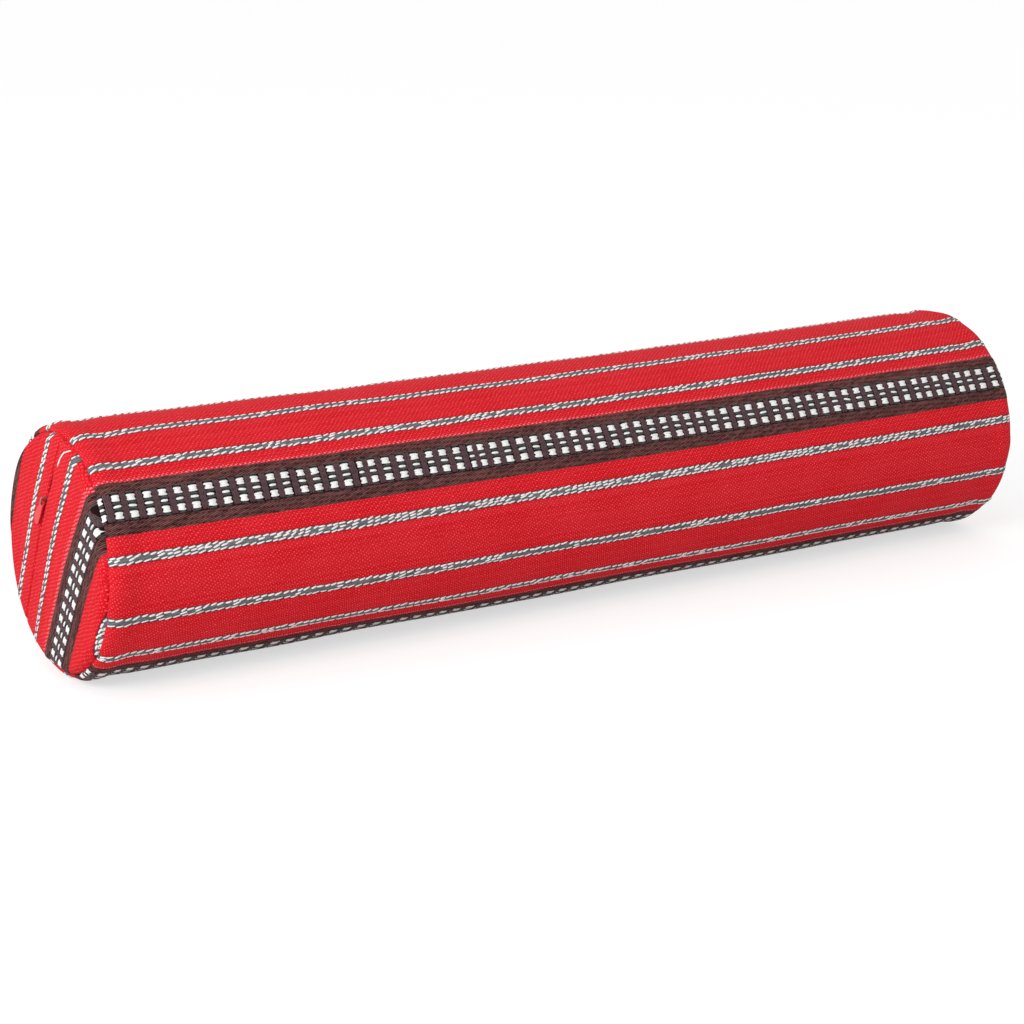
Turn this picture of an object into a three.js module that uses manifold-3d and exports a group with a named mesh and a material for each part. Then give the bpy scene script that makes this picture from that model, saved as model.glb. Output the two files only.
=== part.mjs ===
// Bolster pillow: a foam core in an inner case, inside a zipped cover of heavy woven cloth.
// It lies on its side with its long axis along X and the floor at z = 0. Millimetres, +Z up.
import * as THREE from "three";
import { mergeVertices } from "three/addons/utils/BufferGeometryUtils.js";
import Module from "manifold-3d";

const wasm = await Module();
wasm.setup();

const degrees = THREE.MathUtils.degToRad;

// The whole bolster
const WIDTH = 152; // across the round, front to back
const HEIGHT = 146.7; // floor to top
const SEAM_TO_SEAM = 650; // between the two ring seams, along the middle
const CONTACT_WIDTH = 30; // the strip that is pressed flat by its own weight
const NEAR_LEAN = degrees(2.35); // the near end leans back at the top
const FAR_LEAN = degrees(1.0);

// The cover
const COVER_CLOTH = 2.0; // heavy woven cloth
const SHOULDER_LENGTH = 8; // where the tube's cloth starts to roll over into the ring seam
const SHOULDER_DEPTH = 6; // how far in from the round the ring seam lies
const END_CROWN = 6; // the middle of an end panel stands this far past the ring seam
const CROWN_POWER = 8; // a high power keeps the middle of the panel flat
const PANEL_RIM_RISE = 0.2;
const THREAD = 1.0; // thread of the ring seams
const LENGTHWISE_SEAM = degrees(-55.7); // on the back, underneath
const GROOVE_MOUTH = 2.6; // the valley along the lengthwise seam
const GROOVE_FLOOR = 1.4;
const GROOVE_DEPTH = 1.25;
const LENGTHWISE_THREAD = 0.6;

// The layers inside the cover
const LAYER_GAP = 0.4;
const CASE_CLOTH = 0.8;
const CASE_THREAD = 0.6;
const WADDING = 6;

// The concealed zip in the near end panel
const ZIP_TILT = degrees(24.4); // off the vertical, its top towards the front
const ZIP_OFFSET = 18.6; // behind the middle of the panel
const ZIP_TOP = -44.6; // along the zip line, measured down from the middle
const ZIP_BOTTOM = 46;
const ZIP_GAP = 1.4; // between the folded edges of the two half panels
const TAPE_WIDTH = 12;
const TAPE_THICKNESS = 0.6;
const TAPE_PAST_STOPS = 4;
const COIL_WIDTH = 2.2;
const COIL_HEIGHT = 1.7;
const COIL_FROM_LINE = 0.75; // rows stand apart, so that the slider's web passes between them
const STOP_LENGTH = 2;
const TAPE_STITCH = 0.6;
const TAPE_STITCH_FROM_LINE = 7;
const ZIP_SEAM_THREAD = 0.8;
const THREAD_SINK = 1.0; // how deep the thread lies below the cloth, past the ends of the zip

// The slider and its pull
const SLIDER_AT = -24; // middle of the slider along the zip line
const SLIDER_LENGTH = 9;
const SLIDER_PLATE = 1.0;
const FLANGE = 0.8;
const SLIDER_TAPER = 0.6; // each side draws in by this much towards the closed end of the zip
const WEB = 0.8;
const WEB_LENGTH = 6;
const ARCH_LENGTH = 4.6;
const ARCH_OPENING = 3.2;
const ARCH_OPENING_HEIGHT = 1.5;
const ARCH_BAR = 0.9;
const ARCH_FOOT = 0.6; // web that shows above the cloth, under the arch's opening
const PULL_LENGTH = 20;
const PULL_WIDTH = 6.6;
const PULL_THICKNESS = 0.9;
const EYE_LENGTH = 2.7;
const EYE_WIDTH = 2.8;
const EYE_WALL = 0.7;
const PULL_SLANT = degrees(15); // the pull lies off the zip line, towards the back
const PULL_DROOP = degrees(1.2); // its tip rests on the cloth

const TOUCH_GAP = 0.3; // between pieces that touch
const ARC_STEPS = 54; // facets round the section, above the contact strip
const SHOULDER_STEPS = 4;

// Sizes that follow from the ones above
const HALF_WIDTH = WIDTH / 2;
const HALF_CONTACT = CONTACT_WIDTH / 2;
const CORNER_SINE = Math.sqrt(1 - (HALF_CONTACT / HALF_WIDTH) ** 2);
const RISE = HEIGHT / (1 + CORNER_SINE); // from the axis to the top
const AXIS_HEIGHT = HEIGHT - RISE;
const SEAM_GAP = THREAD + 2 * TOUCH_GAP; // between the tube's edge and an end panel's rim
const PANEL_INSET = SHOULDER_DEPTH + SEAM_GAP;
const CASE_DEPTH = COVER_CLOTH + LAYER_GAP;
const CASE_INSIDE = CASE_DEPTH + CASE_CLOTH;
const CASE_ROUND_INSET = SHOULDER_DEPTH + CASE_THREAD + 2 * TOUCH_GAP;
const WADDING_DEPTH = CASE_INSIDE + TOUCH_GAP;
const CORE_DEPTH = WADDING_DEPTH + WADDING + TOUCH_GAP;
const NEAR = { side: -1, lean: NEAR_LEAN };
const FAR = { side: 1, lean: -FAR_LEAN };

// Distances out from the plane of the ring seam, from the cloth of the end panel inwards
const CLOTH_FACE = END_CROWN;
const PANEL_RINGS = [0.3, 0.6, 0.75, 0.86, 0.94, 1]; // shares of the way from middle to rim
const TAPE_FROM_LINE = ZIP_GAP / 2 + TOUCH_GAP;
const TAPE_TOP = facetFace(tapeReach()) - COVER_CLOTH - TOUCH_GAP; // clears the cloth all along
const COIL_TOP = TAPE_TOP - TAPE_THICKNESS - TOUCH_GAP;
const COIL_BASE = COIL_TOP - COIL_HEIGHT;
const PLATE_TOP = COIL_BASE - TOUCH_GAP;
const NEAR_CASE_DEPTH = Math.max(CASE_DEPTH, SLIDER_PLATE - PLATE_TOP + TOUCH_GAP);
const CASE_RECESS = NEAR_CASE_DEPTH - CASE_DEPTH; // room for the slider behind the zip
const EYE_OPENING_BASE = CLOTH_FACE + ARCH_FOOT;
const HINGE_OUT = EYE_OPENING_BASE + ARCH_OPENING_HEIGHT / 2;
const ARCH_TOP = EYE_OPENING_BASE + ARCH_OPENING_HEIGHT + ARCH_BAR;

// Height of an end panel's outer face at a distance from its middle.
function panelFace(distance) {
  const share = Math.min(1, distance / (HALF_WIDTH - PANEL_INSET));
  return PANEL_RIM_RISE + (END_CROWN - PANEL_RIM_RISE) * (1 - share ** CROWN_POWER);
}

// Height of an end panel's facets, at a share of the way from its middle to its rim.
function facetFace(share) {
  const reach = HALF_WIDTH - PANEL_INSET;
  const next = Math.max(1, PANEL_RINGS.findIndex((ring) => ring >= Math.min(share, 1)));
  const low = PANEL_RINGS[next - 1];
  const part = Math.max(0, (Math.min(share, 1) - low) / (PANEL_RINGS[next] - low));
  return panelFace(low * reach) * (1 - part) + panelFace(PANEL_RINGS[next] * reach) * part;
}

// How near the corners of the zip's tapes come to the rim of the panel, as a share of the way.
function tapeReach() {
  const rim = 1 - PANEL_INSET / HALF_WIDTH;
  const aside = TAPE_FROM_LINE + TAPE_WIDTH;
  const shares = [];
  for (const across of [ZIP_OFFSET - aside, ZIP_OFFSET + aside]) {
    for (const down of [ZIP_TOP - TAPE_PAST_STOPS, ZIP_BOTTOM + TAPE_PAST_STOPS]) {
      const y = across * Math.cos(ZIP_TILT) + down * Math.sin(ZIP_TILT);
      const z = across * Math.sin(ZIP_TILT) - down * Math.cos(ZIP_TILT);
      shares.push(Math.hypot(y / HALF_WIDTH, z / RISE) / rim);
    }
  }
  return Math.max(...shares);
}

// Where the plane of an end's ring seam stands in the whole part.
function endFrame(end) {
  const turn = new THREE.Matrix4().makeRotationY(end.lean);
  return turn.setPosition((end.side * SEAM_TO_SEAM) / 2, 0, AXIS_HEIGHT);
}

// One point of the section: an ellipse seen along the axis, with its foot pressed flat.
function sectionPoint(angle, inset) {
  const share = 1 - inset / HALF_WIDTH;
  return [HALF_WIDTH * Math.cos(angle) * share, RISE * Math.sin(angle) * share];
}

// Angles of the section's corners, with four of them kept for the valley of the lengthwise seam.
function sectionAngles() {
  const corner = Math.asin(CORNER_SINE);
  const mouth = GROOVE_MOUTH / 2 / HALF_WIDTH;
  const floor = GROOVE_FLOOR / 2 / HALF_WIDTH;
  const angles = [];
  for (let i = 0; i <= ARC_STEPS; i++) {
    const angle = -corner + (i / ARC_STEPS) * (Math.PI + 2 * corner);
    if (Math.abs(angle - LENGTHWISE_SEAM) > 1.5 * mouth) angles.push(angle);
  }
  angles.push(LENGTHWISE_SEAM - mouth, LENGTHWISE_SEAM - floor);
  angles.push(LENGTHWISE_SEAM + floor, LENGTHWISE_SEAM + mouth);
  return angles.sort((a, b) => a - b);
}

const ANGLES = sectionAngles();

// A ring of points round the section, at a distance out from an end's seam plane.
function ring(end, out, inset, groove = 0) {
  const frame = endFrame(end);
  const floor = GROOVE_FLOOR / HALF_WIDTH;
  return ANGLES.map((angle) => {
    const inGroove = Math.abs(angle - LENGTHWISE_SEAM) < floor;
    const [y, z] = sectionPoint(angle, inset + (inGroove ? groove : 0));
    const point = new THREE.Vector3(end.side * out, y, z).applyMatrix4(frame);
    point.z = Math.max(0, point.z);
    return point;
  });
}

// Joins rings in the order given into one closed skin. Looped rings close on themselves,
// and the others are closed by a fan of triangles on the first and on the last ring.
function skin(rings, looped) {
  const count = rings[0].length;
  const points = rings.flat();
  const faces = [];
  const spans = looped ? rings.length : rings.length - 1;
  for (let i = 0; i < spans; i++) {
    const here = i * count;
    const next = ((i + 1) % rings.length) * count;
    for (let j = 0; j < count; j++) {
      const k = (j + 1) % count;
      faces.push(here + j, here + k, next + j);
      faces.push(here + k, next + k, next + j);
    }
  }
  if (!looped) {
    const last = (rings.length - 1) * count;
    const first = points.length;
    points.push(middle(rings[0]), middle(rings[rings.length - 1]));
    for (let j = 0; j < count; j++) {
      const k = (j + 1) % count;
      faces.push(first, k, j);
      faces.push(first + 1, last + j, last + k);
    }
  }
  const geometry = new THREE.BufferGeometry().setFromPoints(points);
  geometry.setIndex(faces);
  return geometry;
}

function middle(points) {
  const sum = points.reduce((total, point) => total.add(point), new THREE.Vector3());
  return sum.divideScalar(points.length);
}

// A shoulder's rings at a depth below the cover's outer face, from the tube to the ring seam.
// The valley of the lengthwise seam runs out over the shoulder.
function shoulder(end, depth, groove, recess = 0) {
  const rings = [];
  for (let i = 0; i <= SHOULDER_STEPS; i++) {
    const angle = ((i / SHOULDER_STEPS) * Math.PI) / 2;
    const out = -SHOULDER_LENGTH + (SHOULDER_LENGTH - depth) * Math.sin(angle);
    const inset = SHOULDER_DEPTH - (SHOULDER_DEPTH - depth) * Math.cos(angle);
    rings.push(ring(end, out - recess, inset, groove * (1 - i / SHOULDER_STEPS)));
  }
  return rings;
}

// A tube of cloth that rolls over at both ends, between two depths below the cover's outer face.
function rolledTube(outer, inner, groove, nearRecess = 0) {
  const rings = [
    ...shoulder(NEAR, outer, groove, nearRecess).reverse(),
    ...shoulder(FAR, outer, groove),
    ...shoulder(FAR, inner, 0).reverse(),
    ...shoulder(NEAR, inner, 0, nearRecess),
  ];
  return skin(rings, true);
}

// A flat slab or a long block between two planes, at one inset from the cover's outer face.
function plug(startEnd, startOut, stopEnd, stopOut, inset) {
  return skin([ring(startEnd, startOut, inset), ring(stopEnd, stopOut, inset)], false);
}

// A crowned end panel, as thick as the cover's cloth.
function crownedPanel(end) {
  const outside = [];
  const inside = [];
  for (const share of PANEL_RINGS) {
    const distance = share * (HALF_WIDTH - PANEL_INSET);
    const face = panelFace(distance);
    outside.push(ring(end, face, HALF_WIDTH - distance));
    inside.push(ring(end, face - COVER_CLOTH, HALF_WIDTH - distance));
  }
  const rings = [...inside, ...outside.reverse()];
  return skin(end.side < 0 ? rings.reverse() : rings, false);
}

// A thread that goes once round in the valley between two cloths.
function ringThread(end, out, inset, diameter) {
  const rings = [];
  const sides = 6;
  for (let i = 0; i < sides; i++) {
    const angle = (i / sides) * 2 * Math.PI;
    const across = (Math.cos(angle) * diameter) / 2;
    const along = (Math.sin(angle) * diameter) / 2;
    rings.push(ring(end, out - end.side * along, inset + across));
  }
  return skin(rings, true);
}

// A thread along a curve.
function thread(curve, diameter, steps) {
  const section = new THREE.Shape();
  section.absarc(0, 0, diameter / 2, 0, 2 * Math.PI);
  return new THREE.ExtrudeGeometry(section, {
    extrudePath: curve,
    steps,
    curveSegments: 4,
    bevelEnabled: false,
  });
}

// Solids for joining and cutting
function solidOf(geometry) {
  const bare = new THREE.BufferGeometry();
  bare.setAttribute("position", geometry.getAttribute("position"));
  bare.setIndex(geometry.getIndex());
  const merged = mergeVertices(bare, 1e-4);
  return new wasm.Manifold(
    new wasm.Mesh({
      numProp: 3,
      vertProperties: merged.getAttribute("position").array,
      triVerts: new Uint32Array(merged.getIndex().array),
    }),
  );
}

function geometryOf(solid) {
  const { vertProperties, triVerts } = solid.getMesh();
  const geometry = new THREE.BufferGeometry();
  geometry.setAttribute("position", new THREE.BufferAttribute(vertProperties, 3));
  geometry.setIndex(new THREE.BufferAttribute(triVerts, 1));
  return geometry;
}

// Materials
const cloth = () => new THREE.MeshStandardMaterial({ color: 0xd4202f, roughness: 0.9 });
const sewingThread = () => new THREE.MeshStandardMaterial({ color: 0xa01522, roughness: 0.7 });
const tapeCloth = () => new THREE.MeshStandardMaterial({ color: 0xb51a26, roughness: 0.85 });
const coilPlastic = () => new THREE.MeshStandardMaterial({ color: 0xa81824, roughness: 0.4 });
const steel = () =>
  new THREE.MeshStandardMaterial({ color: 0xb9b9bd, roughness: 0.35, metalness: 1 });
const enamel = () =>
  new THREE.MeshStandardMaterial({ color: 0xc81e2c, roughness: 0.35, metalness: 0.2 });
const calico = () => new THREE.MeshStandardMaterial({ color: 0xe9e2d2, roughness: 0.9 });
const fleece = () => new THREE.MeshStandardMaterial({ color: 0xf3f3f0, roughness: 1 });
const foam = () => new THREE.MeshStandardMaterial({ color: 0xf0e3b4, roughness: 1 });

function piece(name, geometry, material) {
  const mesh = new THREE.Mesh(geometry, material);
  mesh.name = name;
  return mesh;
}

// Cover
function coverTube() {
  return piece("cover_tube_panel", rolledTube(0, COVER_CLOTH, GROOVE_DEPTH), cloth());
}

// The near end panel is two halves, whose folded edges meet over the zip.
function nearPanelHalf(name, side, zipFrame) {
  const half = new THREE.BoxGeometry(WIDTH, WIDTH, 2 * WIDTH);
  half.translate(0, (side * (WIDTH + ZIP_GAP)) / 2, 0);
  half.applyMatrix4(zipFrame);
  const cut = solidOf(crownedPanel(NEAR)).intersect(solidOf(half));
  return piece(name, geometryOf(cut), cloth());
}

function lengthwiseThread() {
  const depth = GROOVE_DEPTH - TOUCH_GAP - LENGTHWISE_THREAD / 2;
  const [y, z] = sectionPoint(LENGTHWISE_SEAM, depth);
  const ends = [NEAR, FAR].map((end) =>
    new THREE.Vector3(-end.side * SHOULDER_LENGTH, y, z).applyMatrix4(endFrame(end)),
  );
  const line = new THREE.LineCurve3(ends[0], ends[1]);
  return piece("lengthwise_seam_thread", thread(line, LENGTHWISE_THREAD, 1), sewingThread());
}

function ringSeamThread(name, end) {
  const out = PANEL_RIM_RISE - COVER_CLOTH / 2;
  const inset = SHOULDER_DEPTH + SEAM_GAP / 2;
  return piece(name, ringThread(end, out, inset, THREAD), sewingThread());
}

// Inner layers
function innerLayers() {
  const face = -CASE_DEPTH;
  const inside = face - CASE_CLOTH;
  const nearFace = face - CASE_RECESS;
  const nearInside = inside - CASE_RECESS;
  const threadInset = (SHOULDER_DEPTH + CASE_ROUND_INSET) / 2;
  const threadOut = (face + inside) / 2;
  const waddingEnd = -SHOULDER_LENGTH - TOUCH_GAP;
  const wadding = [
    ring(NEAR, waddingEnd - CASE_RECESS, WADDING_DEPTH),
    ring(FAR, waddingEnd, WADDING_DEPTH),
    ring(FAR, waddingEnd, WADDING_DEPTH + WADDING),
    ring(NEAR, waddingEnd - CASE_RECESS, WADDING_DEPTH + WADDING),
  ];
  const core = plug(NEAR, nearInside - TOUCH_GAP, FAR, inside - TOUCH_GAP, CORE_DEPTH);
  const caseTube = rolledTube(CASE_DEPTH, CASE_INSIDE, 0, CASE_RECESS);
  const nearRound = plug(NEAR, nearFace, NEAR, nearInside, CASE_ROUND_INSET);
  return [
    piece("inner_case_tube", caseTube, calico()),
    piece("inner_case_near_end", nearRound, calico()),
    piece("inner_case_far_end", plug(FAR, inside, FAR, face, CASE_ROUND_INSET), calico()),
    piece(
      "inner_case_near_thread",
      ringThread(NEAR, threadOut - CASE_RECESS, threadInset, CASE_THREAD),
      sewingThread(),
    ),
    piece(
      "inner_case_far_thread",
      ringThread(FAR, threadOut, threadInset, CASE_THREAD),
      sewingThread(),
    ),
    piece("wadding_wrap", skin(wadding, true), fleece()),
    piece("foam_core", core, foam()),
  ];
}

// Zip. In its own frame X points out of the panel, Y to the rear across the zip, and Z down it.
function bar(name, height, width, top, fromLine, side, start, stop, material) {
  const mesh = piece(name, new THREE.BoxGeometry(height, width, stop - start), material);
  mesh.position.set(top - height / 2, side * (fromLine + width / 2), (start + stop) / 2);
  return mesh;
}

function zipSide(label, side) {
  const first = ZIP_TOP + STOP_LENGTH + TOUCH_GAP;
  const last = ZIP_BOTTOM - STOP_LENGTH - TOUCH_GAP;
  const top = ZIP_TOP - TAPE_PAST_STOPS;
  const bottom = ZIP_BOTTOM + TAPE_PAST_STOPS;
  const stitchOut = COIL_TOP - TAPE_STITCH / 2;
  const stitchLine = new THREE.LineCurve3(
    new THREE.Vector3(stitchOut, side * TAPE_STITCH_FROM_LINE, top),
    new THREE.Vector3(stitchOut, side * TAPE_STITCH_FROM_LINE, bottom),
  );
  const coil = [COIL_HEIGHT, COIL_WIDTH, COIL_TOP, COIL_FROM_LINE, side];
  const tape = [TAPE_THICKNESS, TAPE_WIDTH, TAPE_TOP, TAPE_FROM_LINE, side];
  return [
    bar(`zip_tape_${label}`, ...tape, top, bottom, tapeCloth()),
    bar(`zip_coil_${label}`, ...coil, first, last, coilPlastic()),
    bar(`zip_top_stop_${label}`, ...coil, ZIP_TOP, ZIP_TOP + STOP_LENGTH, steel()),
    piece(`zip_stitch_${label}`, thread(stitchLine, TAPE_STITCH, 1), sewingThread()),
  ];
}

function bottomStop() {
  const width = 2 * (COIL_FROM_LINE + COIL_WIDTH);
  const box = new THREE.BoxGeometry(COIL_HEIGHT, width, STOP_LENGTH);
  const mesh = piece("zip_bottom_stop", box, steel());
  mesh.position.set(COIL_TOP - COIL_HEIGHT / 2, 0, ZIP_BOTTOM - STOP_LENGTH / 2);
  return mesh;
}

// Past each end of the zip the two half panels are sewn edge to edge.
function zipSeamThread(name, direction, start) {
  const rim = RISE * (1 - PANEL_INSET / HALF_WIDTH);
  const stop = Math.sqrt(rim ** 2 - ZIP_OFFSET ** 2) - ZIP_SEAM_THREAD;
  const steps = 4;
  const points = [];
  for (let i = 0; i <= steps; i++) {
    const along = start + ((stop - start) * i) / steps;
    const face = panelFace(Math.hypot(along, ZIP_OFFSET));
    points.push(new THREE.Vector3(face - THREAD_SINK, 0, direction * along));
  }
  const curve = new THREE.CatmullRomCurve3(points);
  return piece(name, thread(curve, ZIP_SEAM_THREAD, 2 * steps), sewingThread());
}

// Turns a flat extrusion so that its drawn x runs down the zip and its drawn y out of the panel.
function alongZip(shape, thickness) {
  const flat = new THREE.ExtrudeGeometry(shape, {
    depth: thickness,
    curveSegments: 4,
    bevelEnabled: false,
  });
  flat.translate(0, 0, -thickness / 2);
  const basis = new THREE.Matrix4().makeBasis(
    new THREE.Vector3(0, 0, 1),
    new THREE.Vector3(1, 0, 0),
    new THREE.Vector3(0, 1, 0),
  );
  return flat.applyMatrix4(basis);
}

// The web rises between the coils and the folded edges, and opens into the arch of the pull.
function sliderWeb() {
  const foot = PLATE_TOP - SLIDER_PLATE / 2;
  const round = ARCH_BAR;
  const half = ARCH_LENGTH / 2;
  const neck = CLOTH_FACE;
  const outline = new THREE.Shape();
  outline.moveTo(-WEB_LENGTH / 2, foot);
  outline.lineTo(WEB_LENGTH / 2, foot);
  outline.lineTo(WEB_LENGTH / 2, COIL_TOP);
  outline.lineTo(half, neck);
  outline.lineTo(half, ARCH_TOP - round);
  outline.absarc(half - round, ARCH_TOP - round, round, 0, Math.PI / 2);
  outline.lineTo(-half + round, ARCH_TOP);
  outline.absarc(-half + round, ARCH_TOP - round, round, Math.PI / 2, Math.PI);
  outline.lineTo(-half, neck);
  outline.lineTo(-WEB_LENGTH / 2, COIL_TOP);
  const opening = new THREE.Path();
  const openingTop = EYE_OPENING_BASE + ARCH_OPENING_HEIGHT;
  opening.moveTo(-ARCH_OPENING / 2, EYE_OPENING_BASE);
  opening.lineTo(ARCH_OPENING / 2, EYE_OPENING_BASE);
  opening.lineTo(ARCH_OPENING / 2, openingTop);
  opening.lineTo(-ARCH_OPENING / 2, openingTop);
  outline.holes.push(opening);
  return solidOf(alongZip(outline, WEB));
}

// A plate behind the coils, with a flange along each side that holds the rows together.
function slider() {
  const inner = COIL_FROM_LINE + COIL_WIDTH + TOUCH_GAP;
  const outer = inner + FLANGE;
  const half = SLIDER_LENGTH / 2;
  const flangeOutline = (side) => {
    const shape = new THREE.Shape();
    shape.moveTo(side * inner, -half);
    shape.lineTo(side * (outer + SLIDER_TAPER), -half);
    shape.lineTo(side * outer, half);
    shape.lineTo(side * inner, half);
    return shape;
  };
  const plateOutline = new THREE.Shape();
  plateOutline.moveTo(-(outer + SLIDER_TAPER), -half);
  plateOutline.quadraticCurveTo(0, -half - SLIDER_PLATE, outer + SLIDER_TAPER, -half);
  plateOutline.lineTo(outer, half);
  plateOutline.lineTo(-outer, half);
  const raise = (shape, base, height) => {
    const flat = new THREE.ExtrudeGeometry(shape, {
      depth: height,
      curveSegments: 6,
      bevelEnabled: false,
    });
    const basis = new THREE.Matrix4().makeBasis(
      new THREE.Vector3(0, 1, 0),
      new THREE.Vector3(0, 0, 1),
      new THREE.Vector3(1, 0, 0),
    );
    return solidOf(flat.applyMatrix4(basis).translate(base, 0, 0));
  };
  const base = PLATE_TOP - SLIDER_PLATE;
  const body = raise(plateOutline, base, SLIDER_PLATE)
    .add(raise(flangeOutline(1), base, COIL_TOP - base))
    .add(raise(flangeOutline(-1), base, COIL_TOP - base))
    .add(sliderWeb());
  const mesh = piece("zip_slider", geometryOf(body), steel());
  mesh.position.z = SLIDER_AT;
  return mesh;
}

// A teardrop with an eye at its narrow end. It hangs from its cross bar under the slider's arch.
function pull() {
  const crossBar = PULL_THICKNESS;
  const eyeHalf = EYE_WIDTH / 2 + EYE_WALL;
  const eyeEnd = crossBar / 2 + EYE_LENGTH;
  const bulb = PULL_WIDTH / 2;
  const outline = new THREE.Shape();
  outline.moveTo(-crossBar / 2, -eyeHalf);
  outline.lineTo(eyeEnd, -eyeHalf);
  outline.bezierCurveTo(eyeEnd + bulb, -eyeHalf, PULL_LENGTH / 2, -bulb, PULL_LENGTH - bulb, -bulb);
  outline.absarc(PULL_LENGTH - bulb, 0, bulb, -Math.PI / 2, Math.PI / 2);
  outline.bezierCurveTo(PULL_LENGTH / 2, bulb, eyeEnd + bulb, eyeHalf, eyeEnd, eyeHalf);
  outline.lineTo(-crossBar / 2, eyeHalf);
  const eye = new THREE.Path();
  eye.moveTo(crossBar / 2, -EYE_WIDTH / 2);
  eye.lineTo(eyeEnd, -EYE_WIDTH / 2);
  eye.lineTo(eyeEnd, EYE_WIDTH / 2);
  eye.lineTo(crossBar / 2, EYE_WIDTH / 2);
  outline.holes.push(eye);
  const flat = new THREE.ExtrudeGeometry(outline, {
    depth: PULL_THICKNESS,
    curveSegments: 8,
    bevelEnabled: false,
  });
  flat.translate(0, 0, -PULL_THICKNESS / 2);
  const basis = new THREE.Matrix4().makeBasis(
    new THREE.Vector3(0, 0, 1),
    new THREE.Vector3(0, 1, 0),
    new THREE.Vector3(-1, 0, 0),
  );
  const mesh = piece("zip_pull", flat.applyMatrix4(basis), enamel());
  mesh.rotation.set(-PULL_SLANT, -PULL_DROOP, 0);
  mesh.position.set(HINGE_OUT, 0, SLIDER_AT);
  return mesh;
}

// The zip's frame stands on the near end's seam plane.
function zipGroup() {
  const zip = new THREE.Group();
  zip.position.set(0, Math.cos(ZIP_TILT), Math.sin(ZIP_TILT)).multiplyScalar(ZIP_OFFSET);
  zip.rotation.set(Math.PI + ZIP_TILT, 0, Math.PI);
  zip.add(...zipSide("front", -1), ...zipSide("rear", 1), bottomStop());
  zip.add(zipSeamThread("zip_seam_thread_upper", -1, TAPE_PAST_STOPS - ZIP_TOP));
  zip.add(zipSeamThread("zip_seam_thread_lower", 1, TAPE_PAST_STOPS + ZIP_BOTTOM));
  zip.add(slider(), pull());
  return zip;
}

function bolster() {
  const part = new THREE.Group();
  const nearEnd = new THREE.Group();
  nearEnd.applyMatrix4(endFrame(NEAR));
  const zip = zipGroup();
  nearEnd.add(zip);
  nearEnd.updateMatrixWorld(true);
  part.add(coverTube(), lengthwiseThread());
  part.add(nearPanelHalf("near_end_panel_front", -1, zip.matrixWorld));
  part.add(nearPanelHalf("near_end_panel_rear", 1, zip.matrixWorld));
  part.add(piece("far_end_panel", crownedPanel(FAR), cloth()));
  part.add(ringSeamThread("near_ring_seam_thread", NEAR));
  part.add(ringSeamThread("far_ring_seam_thread", FAR));
  part.add(...innerLayers(), nearEnd);
  // The origin is the middle of the footprint, on the floor.
  const box = new THREE.Box3().setFromObject(part, true);
  part.position.x = -(box.min.x + box.max.x) / 2;
  return part;
}

export default bolster();
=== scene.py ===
# %% [markdown]
# # A striped bolster pillow
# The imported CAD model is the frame: it says how large the bolster is and where the zip and its
# pull sit and move. This script sews a cover round that frame. The real cover is heavy hand-woven
# cloth: a wrapped tube, a plain round at the far end and a round in two halves, joined by a
# concealed zip, at the near end.

# %% The frame
import math

import bmesh
import bpy
import numpy as np
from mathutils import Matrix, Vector


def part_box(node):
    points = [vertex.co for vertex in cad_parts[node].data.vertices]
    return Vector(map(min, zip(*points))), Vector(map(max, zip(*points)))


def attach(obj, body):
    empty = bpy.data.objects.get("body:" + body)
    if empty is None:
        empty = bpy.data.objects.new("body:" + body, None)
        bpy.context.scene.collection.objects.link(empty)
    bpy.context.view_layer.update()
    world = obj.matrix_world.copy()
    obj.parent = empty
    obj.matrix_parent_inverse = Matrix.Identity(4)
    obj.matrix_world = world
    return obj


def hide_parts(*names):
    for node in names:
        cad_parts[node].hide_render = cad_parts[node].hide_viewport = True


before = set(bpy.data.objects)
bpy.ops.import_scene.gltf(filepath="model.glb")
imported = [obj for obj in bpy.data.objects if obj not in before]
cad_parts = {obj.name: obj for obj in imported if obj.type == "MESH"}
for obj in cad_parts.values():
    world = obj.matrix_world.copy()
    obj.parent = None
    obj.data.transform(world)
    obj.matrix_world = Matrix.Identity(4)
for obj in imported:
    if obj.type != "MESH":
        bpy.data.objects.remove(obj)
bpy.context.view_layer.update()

MM = 0.001
tube_low, tube_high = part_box("cover_tube_panel")

# %% [markdown]
# ## The round and its length
# A bolster that lies on its side isn't a true cylinder. Its weight presses a flat strip along the
# bottom, the round is a little wider than it is high, and the top dips slightly in the middle of
# the length, where less seam holds it up. Both ends lean back at the top, because the bottom cloth
# is pinned to the floor by the weight. These few numbers shape every cloth panel below.

# %% Sizes of the stuffed shape
HALF_WIDTH = (tube_high.y - tube_low.y) / 2
RISE = 74.1 * MM  # from the axis to the top
AXIS_HEIGHT = tube_high.z - RISE
near_thread_low, near_thread_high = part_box("near_ring_seam_thread")
far_thread_low, far_thread_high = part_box("far_ring_seam_thread")
THREAD_BEHIND_SEAM = 0.8 * MM
NEAR_SEAM = (near_thread_low.x + near_thread_high.x) / 2 - THREAD_BEHIND_SEAM
FAR_SEAM = (far_thread_low.x + far_thread_high.x) / 2 + THREAD_BEHIND_SEAM
LENGTH = FAR_SEAM - NEAR_SEAM
NEAR_LEAN = math.radians(2.35)
FAR_LEAN = -math.radians(1.0)
TOP_DIP = 2.0 * MM
SHOULDER_LENGTH = 6.0 * MM
SHOULDER_DEPTH = 3.8 * MM
VALLEY_INSET = 4.7 * MM  # where the two cloths of a ring seam meet
VALLEY_DEPTH = 1.8 * MM
ALLOWANCE = 7 * MM  # cloth turned in behind a seam
print("seam to seam, mm:", round(1000 * LENGTH, 1))


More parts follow.
